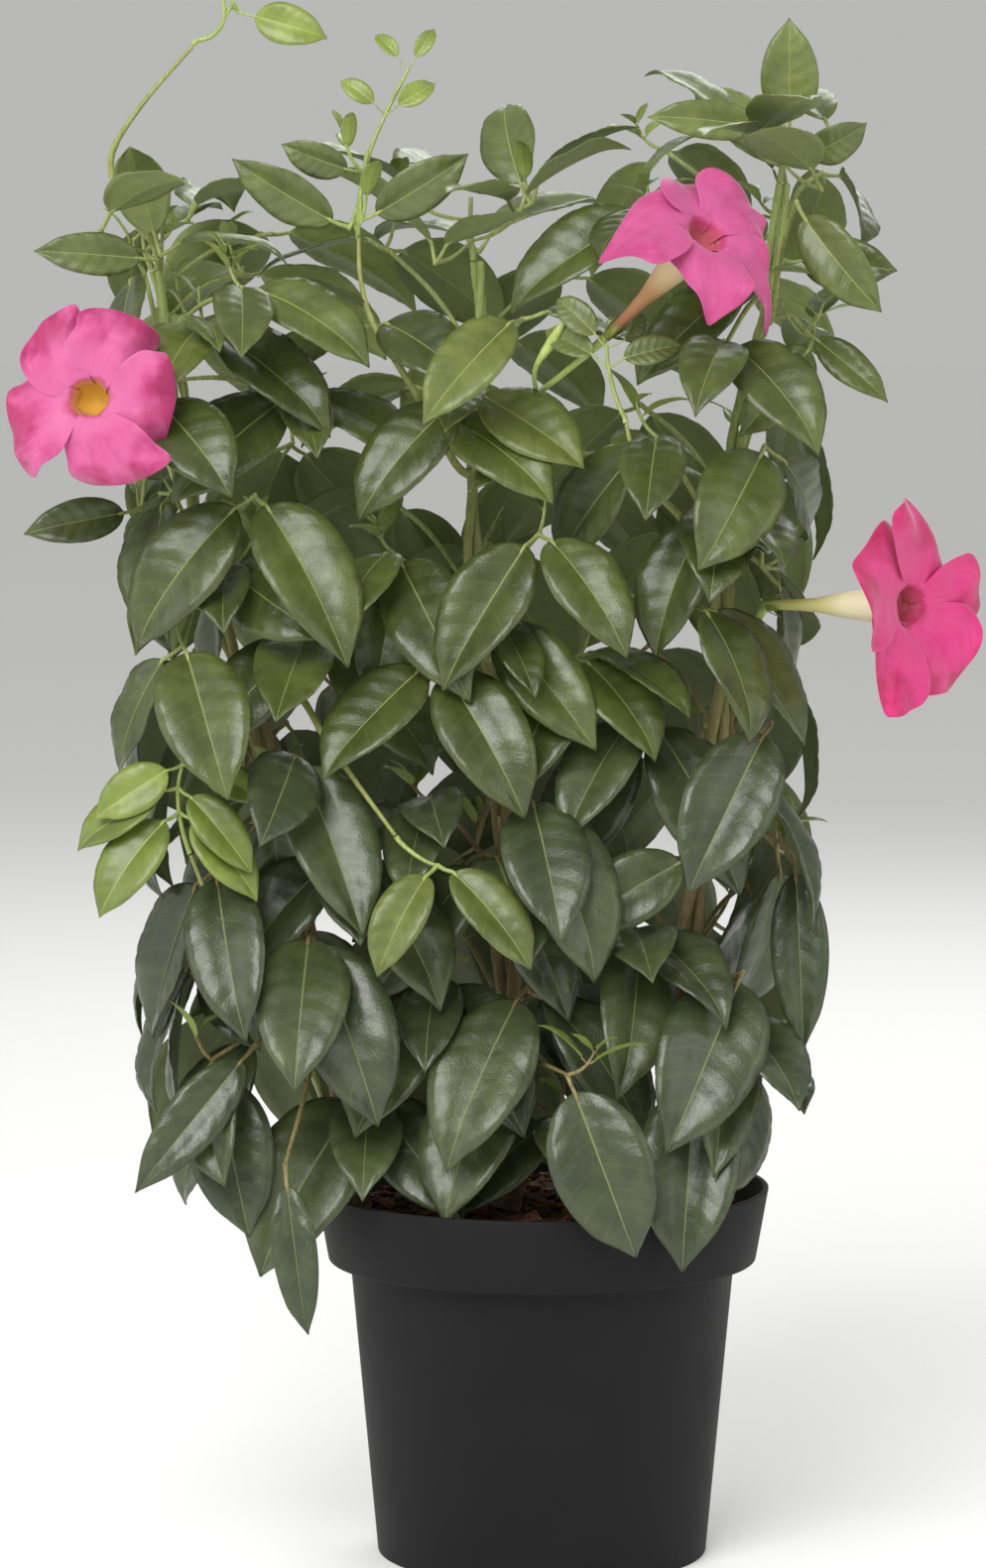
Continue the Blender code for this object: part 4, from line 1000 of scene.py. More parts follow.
def pick(wanted):
    """Selects the points of the open piece whose place is wanted."""
    shape = bmesh.from_edit_mesh(bpy.context.object.data)
    for part in (shape.faces, shape.edges, shape.verts):
        for element in part:
            element.select = False
    for vert in shape.verts:
        vert.select = wanted(vert.co)
    shape.select_flush_mode()
    bmesh.update_edit_mesh(bpy.context.object.data)


def put_in_scene(name, data):
    made = bpy.data.objects.new(name, data)
    bpy.context.scene.collection.objects.link(made)
    return made


def worked(piece, kind, **settings):
    """Adds a modifier with its settings and applies it."""
    modifier = piece.modifiers.new(kind, kind)
    for name, value in settings.items():
        setattr(modifier, name, value)
    bpy.context.view_layer.objects.active = piece
    bpy.ops.object.modifier_apply(modifier=modifier.name)


def join(name, made):
    """Joins the objects under one name, with their shared materials merged."""
    start_piece()
    for piece in made:
        piece.select_set(True)
    bpy.context.view_layer.objects.active = made[0]
    if len(made) > 1:
        bpy.ops.object.join()
    made[0].name = name
    made[0].data.name = name
    return made[0]


def seat(piece, slot, *nodes):
    """Hangs the piece on the root body and hides the nodes that it stands for; its slot is not used."""
    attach(piece, "root")
    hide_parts(*nodes)


def remove(*models):
    for model in models:
        bpy.data.objects.remove(model)


def points_of(piece):
    flat = np.empty(len(piece.data.vertices) * 3)
    piece.data.vertices.foreach_get("co", flat)
    return flat.reshape(-1, 3)


def copy_of(model, points, name):
    """A copy of the model with its own mesh, its points moved to these."""
    mesh = model.data.copy()
    mesh.vertices.foreach_set("co", np.ascontiguousarray(points, dtype=np.float32).ravel())
    mesh.update()
    return put_in_scene(name, mesh)


def flat_grid(columns, rows):
    """A flat sheet, two units wide and one long, opened for shaping."""
    start_piece()
    bpy.ops.mesh.primitive_grid_add(x_subdivisions=columns, y_subdivisions=rows, size=2)
    sheet = bpy.context.object
    bpy.ops.object.mode_set(mode="EDIT")
    bpy.ops.mesh.select_mode(type="VERT")
    bpy.ops.mesh.select_all(action="SELECT")
    bpy.ops.transform.resize(value=(1, 0.5, 1), center_override=(0, 0, 0))
    bpy.ops.transform.translate(value=(0, 0.5, 0))
    return sheet


def leaf_model(columns, rows):
    """A flat leaf blade with its midrib, side veins and under side, one unit long and shaped row by row."""
    blade = flat_grid(columns, rows)
    for place, share in ((3, 0.6), (5, 1.0), (7, 0.6)):
        pick(lambda co: 0.06 < co.y < 0.95 and round(abs(co.x) * LEAF_COLUMNS) == place)
        bpy.ops.transform.translate(value=(0, 0, BLADE_BULGE * share))
    pick(lambda co: is_in_vein(co, rows))
    bpy.ops.transform.translate(value=(0, 0, -VEIN_DEPTH))
    for row in range(rows + 1):
        y = row / rows
        wide = max(0.07 * (1 - y), leaf_outline(y), 0.015)
        rib = MIDRIB_WIDTH * (1 - 0.65 * y)
        pick(lambda co: abs(co.y - y) < 0.25 / rows)
        bpy.ops.transform.resize(value=(wide, 1, 1), center_override=(0, y, 0))
        pick(lambda co: abs(co.y - y) < 0.25 / rows and abs(co.x) < 1.5 / columns * wide)
        bpy.ops.transform.resize(value=(min(1, rib * columns / wide), 1, 1), center_override=(0, y, 0))
        bpy.ops.transform.translate(value=(0, 0, -MIDRIB_SINK))
    bpy.ops.object.mode_set(mode="OBJECT")
    for _ in range(4):
        blade.data.materials.append(None)
    for face in blade.data.polygons:
        face.material_index = 1 if abs(face.center.x) < 0.01 else 0
    worked(blade, "SOLIDIFY", thickness=LEAF_THICKNESS, offset=-1, material_offset=2, material_offset_rim=0)
    bpy.ops.object.shade_smooth()
    return blade


def is_in_vein(co, rows):
    """Whether a point of the flat grid lies in one of the side veins, which slant up from the midrib."""
    column = round((abs(co.x) * LEAF_COLUMNS - 1) / 2)
    row = round(co.y * rows)
    return 0.06 < co.y < 0.93 and column > 0 and (row - column) % VEIN_ROWS == 0


def laid_leaf(leaf, model, materials, dice):
    """The leaf model bent along its midrib, folded, twisted and waved at its edges as this leaf is."""
    across, along, rise = points_of(model).T
    half = leaf.bend / 2
    angle = leaf.bend * along - half
    ahead = (np.sin(angle) + math.sin(half)) / leaf.bend * leaf.length
    out = (np.cos(angle) - math.cos(half)) / leaf.bend * leaf.length
    swell = math.tau * (dice.uniform(1.0, 2.2) * along + dice.random())
    ripple = np.sin(swell + np.where(across > 0, 1.9, 0))
    wave = ripple * across**2 * leaf.length * dice.uniform(0.006, 0.022)
    curl = -leaf.length * dice.uniform(0.1, 0.9) * np.maximum(0, along - 0.72) ** 2
    half_width = leaf.width / 2 * dice.uniform(0.86, 1.0)
    flat = across * half_width * math.cos(leaf.fold)
    lift = np.abs(across) * (1.25 - 0.35 * np.abs(across)) * half_width * math.sin(leaf.fold)
    lift += rise * leaf.length + wave + curl
    twist = dice.uniform(-0.30, 0.30) * (along - 0.25)
    sideways = flat * np.cos(twist) - lift * np.sin(twist)
    upwards = flat * np.sin(twist) + lift * np.cos(twist)
    points = np.array(leaf.base) + np.outer(ahead, leaf.along) + np.outer(out, leaf.face)
    points += np.outer(sideways, leaf.side)
    points += np.outer(upwards * np.cos(angle), leaf.face) + np.outer(upwards * np.sin(angle), leaf.along)
    made = copy_of(model, points, "leaf")
    rib, under, uppers = materials[leaf.tone]
    for i, material in enumerate((dice.choice(uppers), rib, under, rib)):
        made.data.materials[i] = material
    return made


def drawn_limbs(name, limbs, material, roundness=2, capped=True):
    """Round limbs drawn as one curve with a bevel, a radius at each point, then made a mesh."""
    line = bpy.data.curves.new(name, "CURVE")
    line.dimensions = "3D"
    line.bevel_depth = 1.0
    line.bevel_resolution = roundness
    line.use_fill_caps = capped
    for points, radii in limbs:
        spline = line.splines.new("POLY")
        spline.points.add(len(points) - 1)
        for knot, point, radius in zip(spline.points, points, radii):
            knot.co = (*point, 1)
            knot.radius = radius
        spline.use_smooth = True
    line.materials.append(material)
    made = put_in_scene(name, line)
    start_piece()
    made.select_set(True)
    bpy.context.view_layer.objects.active = made
    bpy.ops.object.convert(target="MESH")
    made = bpy.context.object
    made.name = name
    return made


def smoothed(points, radii, count):
    """More points along a limb, on a smooth curve through its own, with the radii between them."""
    shares = np.linspace(0, 1, len(radii))
    fine = np.interp(np.linspace(0, 1, count), shares, radii)
    return smooth_path(points, count), [float(r) for r in fine]


def roughened(piece, size, depth):
    """Pushes the piece's skin in and out by a cloud pattern of this size."""
    cloud = bpy.data.textures.new(piece.name + "_relief", "CLOUDS")
    cloud.noise_scale = size
    cloud.noise_depth = 3
    worked(piece, "DISPLACE", texture=cloud, texture_coords="LOCAL", strength=depth, mid_level=0.5)


def drawn_up(profile, sides):
    """A closed round body, drawn up ring by ring from a disc as on a lathe."""
    start_piece()
    (radius, height), *rest = profile
    foot = (0, 0, height)
    bpy.ops.mesh.primitive_circle_add(vertices=sides, radius=radius, fill_type="NGON", location=foot)
    body = bpy.context.object
    bpy.ops.object.transform_apply(location=True)
    bpy.ops.object.mode_set(mode="EDIT")
    bpy.ops.mesh.select_mode(type="FACE")
    bpy.ops.mesh.select_all(action="SELECT")
    for next_radius, next_height in rest:
        bpy.ops.mesh.extrude_region_move(TRANSFORM_OT_translate={"value": (0, 0, next_height - height)})
        grow = next_radius / radius
        bpy.ops.transform.resize(value=(grow, grow, 1), center_override=(0, 0, next_height))
        radius, height = next_radius, next_height
    return body


def close_body(body, name, material):
    """Turns the body's faces outwards and gives it its name and material."""
    bpy.ops.mesh.select_all(action="SELECT")
    bpy.ops.mesh.normals_make_consistent(inside=False)
    bpy.ops.object.mode_set(mode="OBJECT")
    body.name = name
    body.data.name = name
    body.data.materials.append(material)


def make_pot():
    body = drawn_up(pot_profile(), POT_SIDES_SHOWN)
    close_body(body, "growers_pot", moulded_plastic())
    worked(body, "BEVEL", width=POT_EDGE, segments=3, limit_method="ANGLE", angle_limit=math.radians(20))
    bpy.ops.object.shade_smooth_by_angle(angle=math.radians(40))
    seat(body, "pot_plastic", "pot")


def make_mix(dice):
    """The potting mix: an uneven crumbly top under loose chips of bark."""
    body = drawn_up(mix_profile(), MIX_SIDES)
    radius = mix_profile()[-1][0]
    for _ in range(MIX_RINGS):
        bpy.ops.mesh.inset(thickness=radius / (MIX_RINGS + 2))
    close_body(body, "potting_crumb", crumb("bark_crumb", "#2b1f17", "#4e3a2b", 4 * MM))
    level = points_of(body)
    top = level[:, 2] > MIX_TOP - 0.5 * MM
    distance = np.hypot(level[:, 0], level[:, 1])
    hills = np.array([dice.random() for _ in range(len(level))])
    level[:, 2] += np.where(top & (distance < radius * 0.97), (hills - 0.35) * 2.6 * MM, 0)
    body.data.vertices.foreach_set("co", level.ravel())
    bpy.ops.object.shade_smooth()
    seat(body, "potting_mix", "potting_mix")
    seat(scattered_chips(dice, radius * 0.95), "potting_mix", "potting_mix")


def chip_model(seed):
    """A chip of bark: a flat block with broken corners."""
    start_piece()
    bpy.ops.mesh.primitive_cube_add(size=1)
    chip = bpy.context.object
    bpy.ops.object.mode_set(mode="EDIT")
    bpy.ops.mesh.select_all(action="SELECT")
    bpy.ops.transform.resize(value=(1, 0.55, 0.28), center_override=(0, 0, 0))
    bpy.ops.mesh.subdivide(number_cuts=1)
    bpy.ops.transform.vertex_random(offset=0.10, seed=seed)
    bpy.ops.object.mode_set(mode="OBJECT")
    worked(chip, "BEVEL", width=0.03, segments=1)
    return chip


def scattered_chips(dice, reach):
    """Chips of bark strewn over the mix, none of them where a stem stands."""
    barks = [crumb(f"chip_{name}", deep, pale, 2 * MM) for name, deep, pale in CHIP_BARKS]
    models = [chip_model(seed) for seed in range(4)]
    chips = []
    while len(chips) < CHIPS:
        away, angle = reach * math.sqrt(dice.random()), dice.uniform(0, math.tau)
        spot = Vector((away * math.cos(angle), away * math.sin(angle), MIX_TOP))
        size = CHIP_LENGTH * dice.uniform(0.35, 1.0) ** 1.4
        if any((spot - foot).xy.length < STEM_ROOM for foot, _ in STEMS.values()):
            continue
        turn = Matrix.Rotation(dice.uniform(0, 6.3), 3, "Z") @ Matrix.Rotation(dice.gauss(0, 0.35), 3, "X")
        turn = turn @ Matrix.Rotation(dice.gauss(0, 0.25), 3, "Y")
        spot.z += dice.uniform(0.2, 2.2) * MM
        model = dice.choice(models)
        chip = copy_of(model, points_of(model) @ np.array(turn).T * size + np.array(spot), "chip")
        chip.data.materials.append(dice.choice(barks))
        chips.append(chip)
    remove(*models)
    return join("bark_chips", chips)


def make_stems(bark):
    """Each stem as a mesh with its bark's relief, and the swollen joints that leaf stalks leave."""
    for stem, (foot, head) in STEMS.items():
        for strand in range(STRANDS):
            name = f"{stem}_{'ab'[strand]}"
            points, radii = strand_path(stem, strand, round((head.z - foot.z) / BARK_STEP))
            for i, point in enumerate(points):
                near_joint = ((point.z - MIX_TOP) / JOINT_SPACING + 0.5 * strand) % 1 - 0.5
                radii[i] *= 1 + 0.16 * math.exp(-((near_joint * JOINT_SPACING / (2.4 * MM)) ** 2))
            made = drawn_limbs(f"bark_{name}", [(points, radii)], bark, 4)
            roughened(made, 3.5 * MM, 0.9 * MM)
            for vert in made.data.vertices:
                vert.co.z = max(vert.co.z, MIX_TOP - 1.5 * MM)
            seat(made, "woody_stem", f"stem_{name}")


def make_boughs(skin):
    """Each side shoot, with three faint joints, and slimmer towards its tip than its solid."""
    for place in BOUGHS:
        points, radii = smoothed(*bough_path(place), SHOOT_RINGS)
        for i in range(6, SHOOT_RINGS, 14):
            radii[i] *= 1.18
        for i in range(26, SHOOT_RINGS):
            radii[i] *= 1 - 0.36 * (i - 25) / 22
        made = drawn_limbs(f"shoot_{place}", [(points, radii)], skin, 3)
        roughened(made, 6 * MM, 0.12 * MM)
        seat(made, "green_stem", f"bough_{place}")


def grow_sprigs(masses):
    """Finer twigs than the source has: a short tip with pairs of small leaves at some shoots' ends."""
    for mass, tier, _ in masses:
        dice = random.Random("sprig " + mass.name)
        for points, _ in mass.twigs[1:]:
            if dice.random() > SPRIG_SHARE:
                continue
            end = points[-1]
            lean = heading(dice.uniform(-180, 180), dice.uniform(-70, -20))
            length = dice.uniform(0.012, 0.022)
            tip = end + (lean + UP * 0.4).normalized() * length
            twig = smooth_path([end, end + lean * length * 0.5, tip], 4)
            if not is_in_crown(twig[-1]) and tier != "young":
                continue
            if not mass.space.is_clear(limb(twig, [0.8 * MM] * 4, TWIG_SIDES), mass.name):
                continue
            mass.twigs.append((twig, [0.9 * MM, 0.8 * MM, 0.7 * MM, 0.5 * MM]))
            for root, size in ((twig[2], dice.uniform(0.016, 0.024)), (twig[3], dice.uniform(0.009, 0.014))):
                turn = dice.uniform(0, 360)
                for way in (0, 180):
                    along = heading(turn + way, dice.uniform(-55, -10))
                    face = (UP - along * along.z).normalized()
                    base = root + along * 0.10 * size
                    leaf = Leaf(root, base, along, face, size, size * 0.44, 0.5, 0.3, "young")
                    if mass.space.is_clear(leaf.blade_room()):
                        mass.space.add(leaf.blade_room())
                        mass.sprigs.append(leaf)


def make_foliage(masses, greens):
    """Each mass as a piece of leaves and a piece of the twigs and stalks that bear them."""
    large, small = leaf_model(LEAF_COLUMNS, LEAF_ROWS), leaf_model(*SMALL_LEAF)
    ripened, green, young = [shoot_skin(*look) for look in TWIG_SKINS]
    skins = {"foot": ripened, "low": ripened, "young": young}
    slots = {"foot": "old_leaf", "low": "old_leaf", "mid": "full_leaf", "young": "young_leaf"}
    for mass, tier, place in masses:
        dice = random.Random("look " + mass.name)
        for leaf in mass.leaves:
            leaf.tone = TONE_OF.get(place, leaf.tone)
            if tier == "high":
                leaf.tone = dice.choice(("full", "ripe"))
        blades = [laid_leaf(leaf, large, greens, dice) for leaf in mass.leaves]
        blades += [laid_leaf(leaf, small, greens, dice) for leaf in mass.sprigs]
        slot = "full_leaf" if place == "slant" else slots.get(tier, "fresh_leaf")
        seat(join(mass.name.replace("leaves", "blades"), blades), slot, mass.name)
        limbs = [smoothed(points, radii, 4 * len(points)) for points, radii in mass.twigs]
        for leaf in mass.leaves + mass.sprigs:
            thick = min(1.0, leaf.length / 0.05) * 0.9 * MM
            into = leaf.midrib(0.06)[0] - leaf.face * 0.3 * MM
            knots = [leaf.root, leaf.root.lerp(leaf.base, 0.5) - UP * 0.4 * MM, leaf.base, into]
            limbs.append((smooth_path(knots, len(STALK_TAPER)), [thick * s for s in STALK_TAPER]))
        twigs = drawn_limbs(mass.name.replace("leaves", "twigs"), limbs, skins.get(tier, green))
        seat(twigs, slot, mass.name)
    remove(large, small)


# The two petals' outlines: how far along, and the half width there as a share of the most
ROUND_PETAL = (
    (0, 0.26), (0.24, 0.36), (0.34, 0.50), (0.50, 0.78), (0.62, 0.93),
    (0.74, 1), (0.85, 0.98), (0.92, 0.87), (0.97, 0.66), (1, 0.34),
)
DRAWN_PETAL = (
    (0, 0.26), (0.24, 0.36), (0.34, 0.53), (0.44, 0.80), (0.54, 0.97), (0.62, 1),
    (0.72, 0.88), (0.82, 0.64), (0.91, 0.36), (0.97, 0.15), (1, 0.03),
)
# How a petal rises out of the throat: how far along it, millimetres from the throat's middle and above its
# mouth
PETAL_RISE = ((0, 6.3, -10), (0.08, 6.9, -6), (0.16, 7.7, -3), (0.24, 9.0, -1), (0.34, 12, 0.6))
# How each petal departs from its flower's rule: degrees turned on, length and width over the rule's, how far
# its tip lies off to one side, the millimetres that its tip and one of its corners curl back, and its share
# of the flower's reflex
PETAL_LOOKS = {
    "left": (
        (-9, 1.04, 0.95, 0.16, 2, -4, 1),
        (5, 1.04, 1.04, 0.30, 2, 5, 1),
        (2, 0.97, 0.98, 0.14, 4, 5, 1),
        (8, 1.05, 0.72, -0.06, 4, 14, 1),
        (-2, 1.04, 0.70, -0.24, 1, 3, 1),
    ),
    "upper": (
        (-16, 1.02, 1.16, 0.34, 6, -4, 0.72),
        (-2, 0.84, 0.88, 0.26, 2, 3, 1),
        (2, 1.08, 0.50, 0.02, 5, 4, 1),
        (6, 1.06, 0.92, -0.14, 3, -3, -0.1),
        (-12, 0.90, 1.0, -0.20, 4, 3, 0.8),
    ),
    "right": (
        (8, 1.06, 1.24, 0.06, 1, 3, 1),
        (8, 1.02, 0.92, 0.34, 1, -2, 1),
        (14, 1.0, 1.14, 0.12, 2, 4, 1),
        (-14, 1.04, 1.0, 0.24, 2, 3, 1),
        (-6, 0.90, 1.30, 0.50, 1, -3, 1),
    ),
}
SAGS = {"left": 0, "upper": 5 * MM, "right": 1 * MM}  # how far their own weight draws the tips down


# The bud's stalk from its fork on, up to the bud's tip
BUD_LINE = [Vector(p) for p in ((-0.0036, -0.051, 0.4962), (0.003, -0.056, 0.507), (0.0093, -0.060, 0.5177))]
SEPAL_LENGTH = 0.0085
SEPAL_WIDTH = 0.0026


def petal_model(outline):
    """A flat petal, one unit long, shaped row by row."""
    sheet = flat_grid(PETAL_COLUMNS, PETAL_ROWS)
    for row in range(PETAL_ROWS + 1):
        y = row / PETAL_ROWS
        wide = float(np.interp(y, *zip(*outline)))
        pick(lambda co: abs(co.y - y) < 0.25 / PETAL_ROWS)
        bpy.ops.transform.resize(value=(wide, 1, 1), center_override=(0, y, 0))
    bpy.ops.object.mode_set(mode="OBJECT")
    bpy.ops.object.shade_smooth()
    return sheet


def laid_petal(flower, number, look, sag, model, skins, dice):
    """The petal model drawn up out of the throat, tilted over its neighbour, ruffled and rolled back."""
    turned, longer, wider, hook, tip_curl, corner_curl, bent = look
    across, along, _ = points_of(model).T
    edge = np.abs(across)
    opened = np.clip((along - 0.2) / 0.5, 0, 1)
    reach = flower.reach * longer
    half = flower.reach * flower.spread * (1 + (wider - 1) * opened)
    shares, aways, rises = zip(*PETAL_RISE)
    away = np.interp(along, shares + (1,), aways + (reach / MM,)) * MM
    rise = np.interp(along, shares + (0.5, 0.7, 0.85, 1), rises + (1.9, 2.2, 1.4, -0.4)) * MM
    share = away / flower.reach
    axis, first, second = flower_frame(flower)
    turn = math.radians(PETAL_ANGLE * number + turned)
    out = first * math.cos(turn) + second * math.sin(turn)
    side = axis.cross(out)
    drop = bent * flower.reflex * reach * 0.42 * share**2.4
    waves = np.sin(math.tau * (dice.uniform(1.2, 1.9) * along + dice.random()) + across * 2.2)
    waves += 0.6 * np.sin(math.tau * (dice.uniform(2.6, 3.4) * along + dice.random()) - across * 3)
    waves *= edge**1.3 * opened * dice.uniform(1.8, 3.0) * MM
    waves += along**4 * np.sin(across * 6 + dice.uniform(0, 6)) * 1.8 * MM
    fold = 1.7 * MM * np.exp(-((across / 0.22) ** 2)) * opened * (1 - 0.6 * along)
    rolled = np.maximum(0, along - 0.76) ** 2 / 0.24**2 * tip_curl * MM
    corner = np.maximum(0, across * math.copysign(1, corner_curl) * along - 0.4)
    rolled += corner**2 / 0.6**2 * abs(corner_curl) * 2 * MM
    # each side of its outline wanders a little
    wander = np.sin(math.tau * (2.4 * along + np.where(across > 0, dice.random(), dice.random())))
    flat = -across * half * (1 + 0.06 * wander * opened)
    tilt = math.radians(11) * opened
    height = rise - drop + waves - fold - rolled + flat * np.sin(tilt)
    swing = reach * (0.10 * share + (hook - 0.10) * (np.maximum(0, along - 0.45) / 0.55) ** 1.3)
    # near the throat a petal is part of a cone, one edge over its neighbour's, and it flattens as it opens
    away = away - 0.3 * MM * np.sign(across) * edge**0.5 * (1 - along)
    cone = np.clip(1.2 - along * 1.5, 0.12, 1)
    bend = np.clip(flat / away, -1.3, 1.3)
    ahead = away * (1 + (np.cos(bend) - 1) * cone)
    sideways = flat * np.cos(tilt) * (1 - cone) + np.sin(bend) * away * cone + swing
    points = np.array(flower.mouth) + np.outer(ahead, out) + np.outer(height, axis) + np.outer(sideways, side)
    points -= np.outer(sag * share**3, UP)
    made = copy_of(model, points, "petal")
    for skin in skins:
        made.data.materials.append(skin)
    return made


def make_petals(name, flower, model, skins):
    """The five petals, given their thickness and smoothed."""
    dice = random.Random("petals " + name)
    looks = enumerate(PETAL_LOOKS[name])
    made = [laid_petal(flower, number, look, SAGS[name], model, skins, dice) for number, look in looks]
    petals = join(f"petals_{name}", made)
    worked(petals, "SOLIDIFY", thickness=0.5 * MM, offset=0, material_offset=1)
    worked(petals, "SUBSURF", levels=1, render_levels=1)
    seat(petals, "petal", f"flower_{name}")


def make_trumpet(name, flower, outside, throat):
    """The tube, as a thin open shell from its calyx up to its petals, and the cup that closes its throat."""
    shares = np.linspace(1.02, 0.10, 34)
    radii = np.interp(shares, (0.10, 0.2, 0.42, 0.6, 0.74, 0.85, 1), (7.9, 7.7, 6.8, 5.0, 3.0, 2.3, 2.0)) * MM
    line = [funnel_point(flower, float(s)) for s in shares], [float(r) for r in radii]
    shares = (0.13, 0.17, 0.21, 0.245, 0.27, 0.285, 0.29)
    cup = [funnel_point(flower, s) for s in shares], [r * MM for r in (6.9, 6.5, 5.6, 4.3, 2.8, 1.3, 0.01)]
    lined = drawn_limbs(f"cup_{name}", [cup], throat, 10, capped=False)
    made = drawn_limbs(f"trumpet_{name}", [line], outside, 10, capped=False)
    made.data.materials.append(throat)
    worked(made, "SOLIDIFY", thickness=0.4 * MM, offset=-1, material_offset=1, material_offset_rim=1)
    made = join(made.name, [made, lined])
    # how far each point lies from the mouth, as a share of the tube's length
    away = np.linalg.norm(points_of(made) - np.array(flower.mouth), axis=1) / FUNNEL_LENGTH
    depth = made.data.attributes.new("depth", "FLOAT", "POINT")
    depth.data.foreach_set("value", away.astype(np.float32))
    seat(made, "petal", f"flower_{name}")


def make_stalk(name, flower, skin):
    """The flower's stalk, and the bud that forks off the upper one."""
    points, _ = flower_stalk(flower)
    limbs = [smoothed(points[:5], [r * MM for r in (1.5, 1.3, 1.2, 1.3, 2.1)], 26)]
    if name == "upper":
        swell = smooth_path([limbs[0][0][14], *BUD_LINE], 14)
        limbs.append((swell, [r * MM for r in (1, 1, 1, 1, 1, 1.1, 1.4, 1.9, 2.2, 2.2, 1.9, 1.4, 0.9, 0.4)]))
    seat(drawn_limbs(f"stalk_{name}", limbs, skin, 3), "petal", f"flower_{name}")


def make_calyx(name, flower, greens, model, dice):
    """Five narrow sepals that stand round the foot of the tube."""
    foot = funnel_point(flower, 1.0)
    axis = (funnel_point(flower, 0.9) - foot).normalized()
    across = axis.cross(UP).normalized()
    sepals = []
    for number in range(5):
        angle = math.radians(PETAL_ANGLE * number + 20)
        away = across * math.cos(angle) + axis.cross(across) * math.sin(angle)
        along = (axis * 0.85 + away * 0.4).normalized()
        face = (away - along * away.dot(along)).normalized()
        base = foot + away * 1.5 * MM - axis * 0.8 * MM
        sepal = Leaf(base, base, along, face, SEPAL_LENGTH, SEPAL_WIDTH, 0.3, 0.2, "young")
        sepals.append(laid_leaf(sepal, model, greens, dice))
    seat(join(f"sepals_{name}", sepals), "petal", f"flower_{name}")


# The petals' pinks from deep in the throat to the tip, their places, and their paler backs
PINKS = {
    "left": ("#b98a2c #bd8038 #b04a66 #c65f90 #c05085 #a3265f", (0, 0.11, 0.19, 0.27, 0.6, 1), "#c76f9b"),
    "upper": ("#b0604a #b8506a #b0305e #c2528a #bb4a80 #b03672", (0, 0.10, 0.2, 0.3, 0.6, 1), "#cc7aa2"),
    "right": ("#a8584a #b43c5a #a31a4c #d03a7a #d03078 #b21c56", (0, 0.10, 0.2, 0.3, 0.6, 1), "#cb5f8c"),
}
# The tubes from the mouth down, outside and then in the throat
CREAMY = "#d9c2b6 #d7caaf #d2c9a2 #bdb67a #a8a55f #8c984c", (0, 0.15, 0.45, 0.62, 0.8, 1)
BROWNED = "#d9c0b3 #dac7aa #d0b88c #a87e52 #8a5c3c #7f7b45", (0, 0.15, 0.42, 0.58, 0.85, 1)
OCHRE = "#cc7a4e #cf9d38 #bd9236 #7d5520", (0, 0.12, 0.3, 0.7)
ROSY = "#c4487a #c05c6c #a04c44 #63401f", (0, 0.12, 0.3, 0.7)


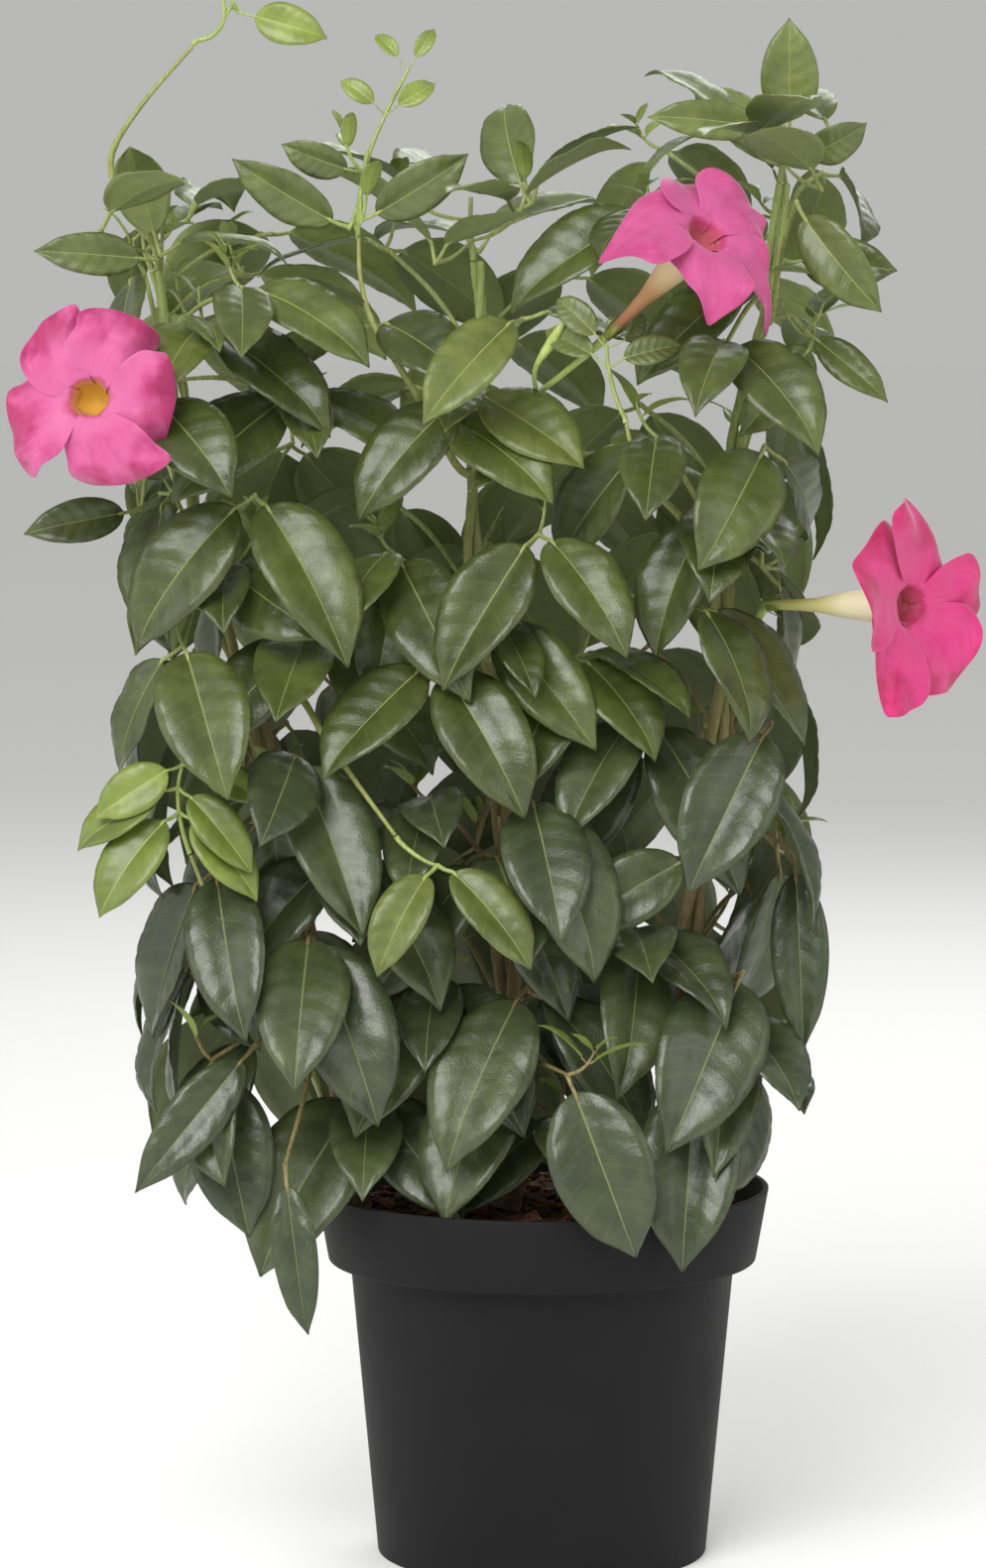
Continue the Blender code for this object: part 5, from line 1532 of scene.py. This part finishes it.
def make_flowers(greens):
    """Each flower as its petals, its tube, its stalk and its sepals."""
    creamy = trumpet_skin("trumpet_cream", shades(*CREAMY), 0.5)
    browned = trumpet_skin("trumpet_browned_cream", shades(*BROWNED), 0.5)
    ochre = trumpet_skin("throat_ochre", shades(*OCHRE), 0.6)
    rosy = trumpet_skin("throat_rosy_ochre", shades(*ROSY), 0.6)
    stalk_skin = shoot_skin("flower_stalk_skin", "#9aab58", "#b6c474")
    round_petal, drawn_petal = petal_model(ROUND_PETAL), petal_model(DRAWN_PETAL)
    sepal = leaf_model(*SMALL_LEAF)
    for name, flower in FLOWERS.items():
        pinks, places, back = PINKS[name]
        face = petal_skin(f"petal_{name}", shades(pinks, places))
        skins = face, petal_skin(f"petal_back_{name}", ((0, back), (1, back)))
        make_petals(name, flower, round_petal if name == "left" else drawn_petal, skins)
        make_trumpet(name, flower, browned if name == "upper" else creamy, ochre if name == "left" else rosy)
        make_stalk(name, flower, stalk_skin)
        make_calyx(name, flower, greens, sepal, random.Random("sepals " + name))
    remove(round_petal, drawn_petal, sepal)


# The photograph's view: its height in pixels, and where the camera stands
PHOTO_HIGH = 1581
FOCAL_PIXELS = 5344
CAMERA_PLACE = (-0.0206, -2.2, 0.515)
CAMERA_PITCH = 4.98
SENSOR = 36


def make_camera():
    camera = put_in_scene("camera", bpy.data.cameras.new("camera"))
    camera.location = CAMERA_PLACE
    camera.rotation_euler = (math.radians(90 - CAMERA_PITCH), 0, 0)
    camera.data.sensor_width = SENSOR
    camera.data.lens = FOCAL_PIXELS / PHOTO_HIGH * SENSOR
    bpy.context.scene.camera = camera


def make_floor():
    start_piece()
    bpy.ops.mesh.primitive_plane_add(size=120)
    floor = bpy.context.object
    floor.name = "floor"
    material, _ = new_material("pale_floor", Base_Color="#fdfdfc", Roughness=0.9)
    floor.data.materials.append(material)


def make_light():
    """A large soft box high before the plant on its left, two weak fills and a light from behind."""
    for name, place, size, power in (
        ("soft_box", (-0.8, -2.1, 2.0), 1.6, 66),
        ("left_fill", (-2.2, -0.6, 1.0), 1.4, 10),
        ("right_fill", (2.0, -1.2, 1.1), 1.6, 12),
        ("back_light", (0.5, 1.9, 1.9), 1.4, 18),
    ):
        lamp = bpy.data.lights.new(name, "AREA")
        lamp.size = size
        lamp.energy = power
        light = put_in_scene(name, lamp)
        light.location = place
        light.rotation_euler = (Vector((0, 0, 0.35)) - Vector(place)).to_track_quat("-Z", "Y").to_euler()
    world = bpy.data.worlds.new("studio")
    world.use_nodes = True
    give(world.node_tree.nodes["Background"], {"Color": "#e8e8e6", "Strength": 0.6})
    bpy.context.scene.world = world
    bpy.context.scene.view_settings.view_transform = "Standard"


make_camera()
make_light()
make_floor()
MASSES = grow_plant()
grow_sprigs(MASSES)
GREENS = leaf_materials()
make_pot()
make_mix(random.Random("potting mix"))
make_stems(climbing_bark())
make_boughs(shoot_skin("side_shoot", "#7c8344", "#969c58"))
make_foliage(MASSES, GREENS)
make_flowers(GREENS)
